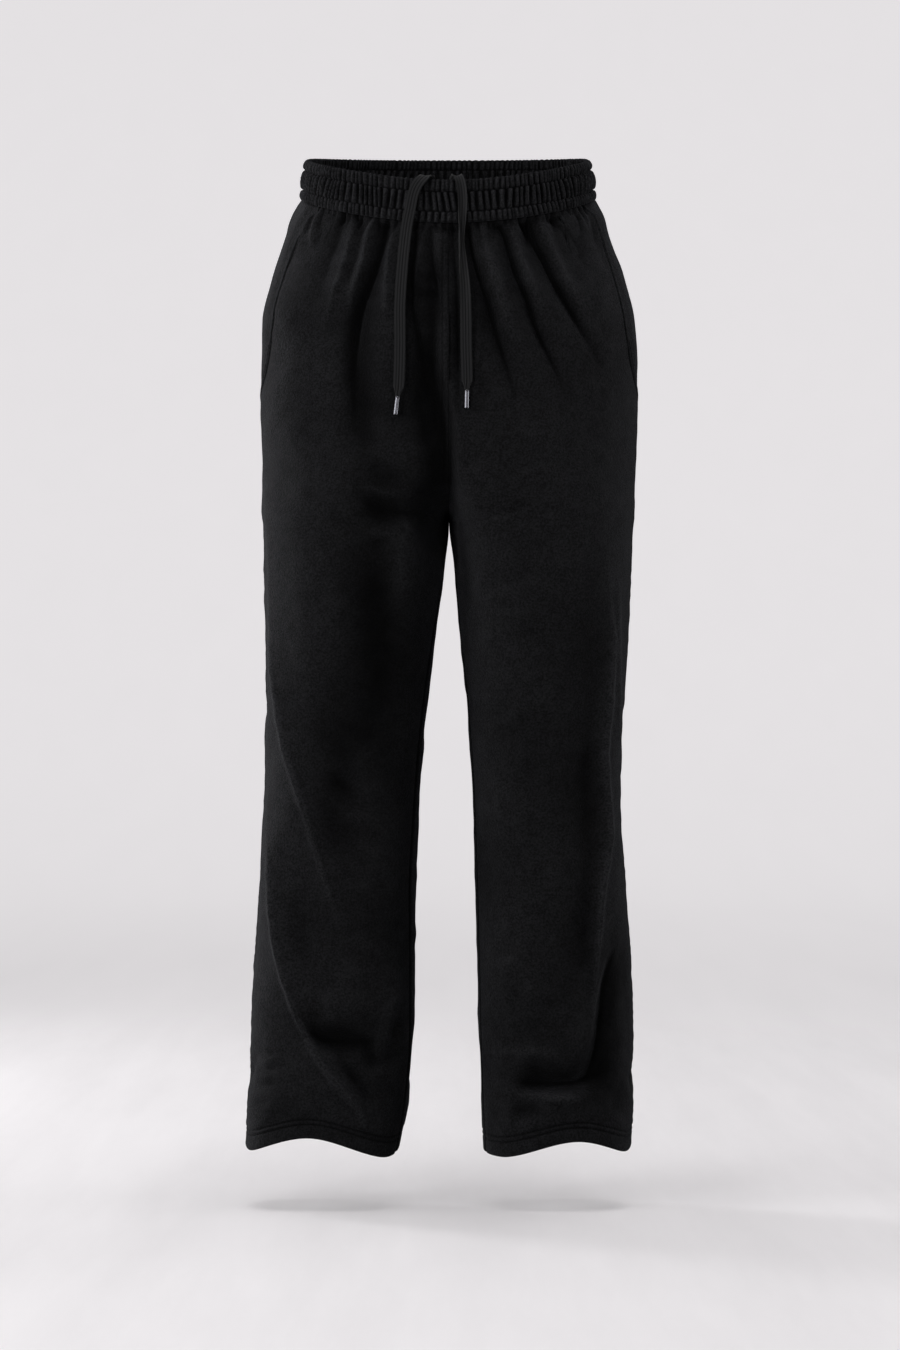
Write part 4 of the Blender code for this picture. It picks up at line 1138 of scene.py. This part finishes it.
def cord_frames(route, samples):
    """Points along a cord, its direction, and those across its width and out of its flat face."""
    rows = catmull_rom([(p.x, p.y, p.z, p.twist) for p in route], samples)
    line = rows[:, :3]
    tangent = np.gradient(line, axis=0)
    tangent /= np.linalg.norm(tangent, axis=1, keepdims=True)
    across = np.array([1.0, 0, 0]) - tangent[:, :1] * tangent
    across /= np.linalg.norm(across, axis=1, keepdims=True)
    out = np.cross(tangent, across)
    cosine = np.cos(np.radians(rows[:, 3:]))
    sine = np.sin(np.radians(rows[:, 3:]))
    return line, tangent, across * cosine + out * sine, out * cosine - across * sine


def drawcord(name, route, curl):
    """A flat ribbed cord: a slight cup across it, and two lobes where its tip holds it."""
    width, thickness = CORD
    line, _, across, out = cord_frames(route, CORD_ROWS + 1)
    run = run_along(line)
    drawn = 1 - ease(0, CORD_GATHER, run[-1] - run)
    bm = bmesh.new()
    bmesh.ops.create_grid(bm, x_segments=CORD_COLUMNS, y_segments=CORD_ROWS, size=0.5)
    layer = bm.loops.layers.uv.new("cloth")
    for vert in bm.verts:
        # The grid's columns go round the cord, whose edges are at part 1 and -1, and its rows along it
        angle = 2 * math.pi * (vert.co.x + 0.5)
        j = round((0.5 - vert.co.y) * CORD_ROWS)
        part = math.cos(angle)
        flatness = abs(math.sin(angle)) ** 0.5 * math.copysign(1, math.sin(angle))
        ribbed = abs(math.sin(math.pi * CORD_RIBS * part / 2)) ** 0.5 - 1
        rib = RIB_DEPTH * ribbed * (1 - abs(part) ** 8)
        half = width / 2 * (1 - DRAWN_IN * drawn[j])
        depth = (thickness / 2 + rib) * (1 + DRAWN_OUT * drawn[j])
        depth -= LOBES[0] * drawn[j] * math.exp(-(part / LOBES[1]) ** 2)
        height = line[j, 2]
        folded = math.exp(-((height - CURL[0]) / CURL[1]) ** 2)
        cupped = CUPPED * min(max((height - CUP_ENDS[0]) / (CUP_ENDS[1] - CUP_ENDS[0]), 0), 1)
        bend = math.radians(curl * (folded + cupped * (1 - folded))) + LEAST_BEND
        x = half * math.sin(bend * part) / bend
        y = half * (1 - math.cos(bend * part)) / bend
        point = line[j] + across[j] * x + out[j] * (depth * flatness + y * 0.8)
        point += across[j] * SWAY[0] * math.sin(run[j] / SWAY[1])
        for loop in vert.link_loops:
            loop[layer].uv = (half * part * MM, run[j] * MM)
        vert.co = Vector(point) * MM
    bmesh.ops.remove_doubles(bm, verts=bm.verts[:], dist=2e-6)
    bmesh.ops.holes_fill(bm, edges=[e for e in bm.edges if e.is_boundary], sides=0)
    bmesh.ops.recalc_face_normals(bm, faces=bm.faces[:])
    made = finish_mesh(bm, name, TAPE, 60)
    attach(made, "root")
    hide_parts(name.replace("_braid", ""))
    return made, [tuple(p * MM) for p in line[::4]], run[-1] * MM


TIP_SIDES = 40
# Radius and distance from the top, on a tip of radius 2.5 and length 20: the rolled collar, the pressed
# waist, the tube and its rounded nose
TIP_PROFILE = (
    (0.0, 0.35), (1.55, 0.3), (1.8, 0.0), (2.3, 0.05), (2.5, 0.35), (2.5, 0.9), (2.3, 1.25), (2.2, 1.5),
    (2.26, 3.0), (2.3, 9.0), (2.32, 16.5), (2.3, 18.4), (2.1, 19.3), (1.6, 19.8), (0.9, 19.98),
    (0.0, 20.0),
)


def cord_tip(name, route, node):
    """The metal end: a tube with a rolled collar, a pressed waist and a rounded nose."""
    line, tangent, _, _ = cord_frames(route, 3 * (len(route) - 1) + 1)
    direction = Vector(tangent[-1])
    top = Vector(line[-1]) + direction * 0.3
    bm = revolved([(r * TIP_RADIUS / 2.5, z * TIP_LENGTH / 20) for r, z in TIP_PROFILE], TIP_SIDES)
    turn = Vector((0, 0, 1)).rotation_difference(direction).to_matrix().to_4x4()
    bmesh.ops.transform(bm, matrix=Matrix.Translation(top) @ turn, verts=bm.verts[:])
    bmesh.ops.scale(bm, vec=(MM, MM, MM), verts=bm.verts[:])
    made = finish_mesh(bm, name, METAL, 40)
    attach(made, "root")
    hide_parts(node)
    return made


# ------------------------------------------------------------------------------------- the stitches

STITCH = (2.4, 0.6, 0.36)   # length, width and height of one stitch
STITCH_PITCH = 3.1
STITCH_AHEAD = 0.8          # how far along its row the point lies that a stitch is turned towards
STITCH_PROUD = 0.02         # how far a stitch's middle stands out of the cloth


def stitches(name, rows):
    """One object of all the stitches along rows, each row its points and the normals there."""
    bm = bmesh.new()
    for points, normals in rows:
        run = run_along(points)
        places = np.arange(STITCH_PITCH / 2, run[-1], STITCH_PITCH)
        at = np.stack([np.interp(places, run, points[:, k]) for k in range(3)], axis=1)
        ahead = np.stack([np.interp(places + STITCH_AHEAD, run, points[:, k]) for k in range(3)], axis=1)
        up = np.stack([np.interp(places, run, normals[:, k]) for k in range(3)], axis=1)
        for point, front, normal in zip(at, ahead, up):
            along = Vector(front - point)
            if along.length < 0.1:
                continue
            along.normalize()
            normal = Vector(normal)
            aside = normal.cross(along).normalized()
            turn = Matrix((along, aside, along.cross(aside))).transposed().to_4x4()
            size = Matrix.Diagonal([length / 2 for length in STITCH] + [1])
            place = Matrix.Translation(Vector(point) + normal * STITCH_PROUD)
            bmesh.ops.create_icosphere(bm, subdivisions=1, radius=1, matrix=place @ turn @ size)
    bmesh.ops.scale(bm, vec=(MM, MM, MM), verts=bm.verts[:])
    made = finish_mesh(bm, name, THREAD)
    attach(made, "root")
    return made


def sewn_row(side, part, share, down):
    """Points and normals of a panel's outer face along one row of stitches."""
    points, normals, seams, _ = cloth_surface(side, part, share, down)
    return points + normals * seams[:, None], normals


def hem_rows(side, part):
    """The twin-needle rows over the hem of one panel."""
    rows = []
    for above in STITCH_ROWS:
        u = np.linspace(0.02, 0.98, 120)
        share, down = panel_grid(side, part, u, np.full_like(u, HEM - above))
        rows.append(sewn_row(side, part, share, down))
    return rows


def mouth_rows(side):
    """The rows beside one pocket's mouth."""
    rows = []
    for inset in MOUTH_ROWS:
        down = np.linspace(BAND + 3, MOUTH_END - 2, 90)
        share = 1 - (mouth_width(side, down) + inset) / pace(side, np.full_like(down, 1), down)
        rows.append(sewn_row(side, "front", share, down))
    return rows


def fly_row():
    """The row beside the centre front seam, on the right front."""
    down = np.linspace(BAND + 4, CROTCH - 40, 110)
    share = FRONT_ROW / pace(-1, np.full_like(down, 0.02), down)
    return [sewn_row(-1, "front", share, down)]


BAND_ROW_SUNK = 0.75        # how deep the band's stitches lie in its faces


def band_rows(face):
    """The rows of stitches round the band, on its outer face 1 or its inner face -1."""
    rows = []
    for level in CHANNELS[1:3]:
        for side in (1, -1):
            share = np.linspace(0.002, 1.998, 300)
            down = np.full_like(share, level)
            points = bare_surface(side, share, down)
            normals = drawn_normal(side, share, down)
            height = -BAND_ROW_SUNK if face > 0 else BAND_ROW_SUNK - BAND_WALL
            rows.append((points + normals * height, normals * face))
    return rows


# ------------------------------------------------------------------------------ camera and the cords

# Square on to the front and four metres off, level with the garment's middle
camera = bpy.data.objects.new("camera", bpy.data.cameras.new("camera"))
scene.collection.objects.link(camera)
camera.location = (0.001, -4.0, -0.556)
camera.rotation_euler = (math.radians(90), 0, 0)
camera.data.lens = 98.8
camera.data.sensor_width = 36
camera.data.clip_end = 50
scene.camera = camera

for side_name, route, curl in (("right", RIGHT_ROUTE, 0.0), ("left", LEFT_ROUTE, CURL[2])):
    tip = cord_tip(f"metal_tip_{side_name}", route, f"tip_{side_name}")
    cord, path, length = drawcord(f"drawcord_{side_name}_braid", route, curl)

# -------------------------------------------------------------------------------------- the garment

band = waistband("waistband_cloth", "waistband")
for side, side_name in ((-1, "right"), (1, "left")):
    front = panel(side, "front", f"front_{side_name}_cloth", f"front_{side_name}")
    back = panel(side, "back", f"back_{side_name}_cloth", f"back_{side_name}")
    bag = pocket(side, f"pocket_{side_name}_cloth", f"pocket_{side_name}")
    stitches(f"hem_stitches_{side_name}", hem_rows(side, "front") + hem_rows(side, "back"))
    stitches(f"pocket_stitches_{side_name}", mouth_rows(side))
stitches("fly_stitches", fly_row())
stitches("waistband_stitches", band_rows(1) + band_rows(-1))

# --------------------------------------------------------------------------------- stage and lights

# The stage and the lights are in metres
FLOOR = -1.13
FLAT = 5.0                  # the floor's radius before the sweep
CURVE = 2.5                 # radius of the sweep up to the wall all round
CURVE_STEPS = 16
STAGE_TOP = 7.0             # height of the wall above the floor
STAGE_SIDES = 96
FLOOR_LIGHT_HEIGHT = 3.2
GLOW = (0.18, 0.82)         # of the paper below the garment and of the wall


def stage_material():
    """Pale seamless paper: matt, very slightly uneven, and glowing more towards the wall."""
    made, tree, shader = new_material("pale_backdrop", {
        "Roughness": 0.95, "Specular IOR Level": 0.1, "Emission Color": linear("f5f2f4")})
    solid = add_node(tree, "ShaderNodeTexCoord").outputs["Object"]
    # Patches 110 mm across, drawn out along the floor, which is seen at a slant
    drawn = add_node(tree, "ShaderNodeMapping", None, {"Vector": solid, "Scale": (1, 0.12, 1)})
    patches = add_node(tree, "ShaderNodeTexNoise", None, {"Vector": drawn.outputs["Vector"], "Scale": 9.0,
                                                          "Detail": 6.0, "Roughness": 0.6})
    ramp = add_node(tree, "ShaderNodeValToRGB", None, {"Fac": patches.outputs["Fac"]})
    ramp.color_ramp.elements[0].position = 0.3
    ramp.color_ramp.elements[0].color = linear("c4c1c3")
    ramp.color_ramp.elements[1].position = 0.7
    ramp.color_ramp.elements[1].color = linear("cecbcd")
    tree.links.new(ramp.outputs["Color"], shader.inputs["Base Color"])
    # The glow makes up for the floor light, which falls off as 1 / (1 + (radius / height)^2)^2
    radius = add_node(tree, "ShaderNodeVectorMath", {"operation": "LENGTH"}, {0: solid})
    share = add_node(tree, "ShaderNodeMath", {"operation": "DIVIDE"}, {
        0: radius.outputs["Value"], 1: FLOOR_LIGHT_HEIGHT - FLOOR})
    square = add_node(tree, "ShaderNodeMath", {"operation": "MULTIPLY_ADD"}, {
        0: share.outputs[0], 1: share.outputs[0], 2: 1.0})
    lit = add_node(tree, "ShaderNodeMath", {"operation": "POWER"}, {0: square.outputs[0], 1: -2.0})
    glow = add_node(tree, "ShaderNodeMapRange", None, {"Value": lit.outputs[0], "To Min": GLOW[1],
                                                       "To Max": GLOW[0]})
    tree.links.new(glow.outputs["Result"], shader.inputs["Emission Strength"])
    return made


def backdrop():
    """A round floor that sweeps up into a wall on all sides, beyond any camera."""
    profile = [(0.0, FLOOR), (2.0, FLOOR), (FLAT, FLOOR)]
    for k in range(1, CURVE_STEPS + 1):
        angle = math.pi / 2 * k / CURVE_STEPS
        profile.append((FLAT + CURVE * math.sin(angle), FLOOR + CURVE * (1 - math.cos(angle))))
    profile.append((FLAT + CURVE, FLOOR + STAGE_TOP))
    made = finish_mesh(revolved(profile, STAGE_SIDES), "backdrop", stage_material())
    made.visible_diffuse = False
    made.visible_glossy = False
    return made


def softbox(name, place, aim, size, watts):
    """A large soft light at place that shines at aim."""
    data = bpy.data.lights.new(name, "AREA")
    data.shape = "RECTANGLE"
    data.size, data.size_y = size
    data.energy = watts
    made = bpy.data.objects.new(name, data)
    scene.collection.objects.link(made)
    made.location = place
    made.rotation_euler = (Vector(aim) - Vector(place)).to_track_quat("-Z", "Y").to_euler()
    return made


# The garment is lit from in front and from both sides, and the paper by a light of its own
paper = backdrop()
softbox("key", (-2.3, -0.9, -0.2), (0, 0, -0.5), (0.9, 2.0), 23)
softbox("front left", (-1.6, -2.5, -0.1), (0, 0, -0.5), (0.8, 1.8), 21)
softbox("front right", (1.3, -2.8, -0.1), (0, 0, -0.5), (0.8, 1.8), 9)
softbox("far side", (2.4, -0.1, -0.4), (0, 0, -0.6), (0.7, 2.0), 19)
softbox("rim left", (-2.0, 1.3, -0.3), (0, 0, -0.5), (0.5, 2.0), 42)
softbox("rim right", (2.0, 1.3, -0.3), (0, 0, -0.5), (0.4, 2.0), 8)
softbox("top", (0, -0.6, 2.2), (0, 0, -0.6), (1.6, 1.2), 20)
floor_light = softbox("floor light", (0, 0, FLOOR_LIGHT_HEIGHT), (0, 0, FLOOR), (3.0, 3.0), 70)
only_paper = bpy.data.collections.new("lit by the floor light")
only_paper.objects.link(paper)
floor_light.light_linking.receiver_collection = only_paper

world = bpy.data.worlds.new("studio")
world.use_nodes = True
world.node_tree.nodes["Background"].inputs["Color"].default_value = (1, 1, 1, 1)
world.node_tree.nodes["Background"].inputs["Strength"].default_value = 0.02
scene.world = world
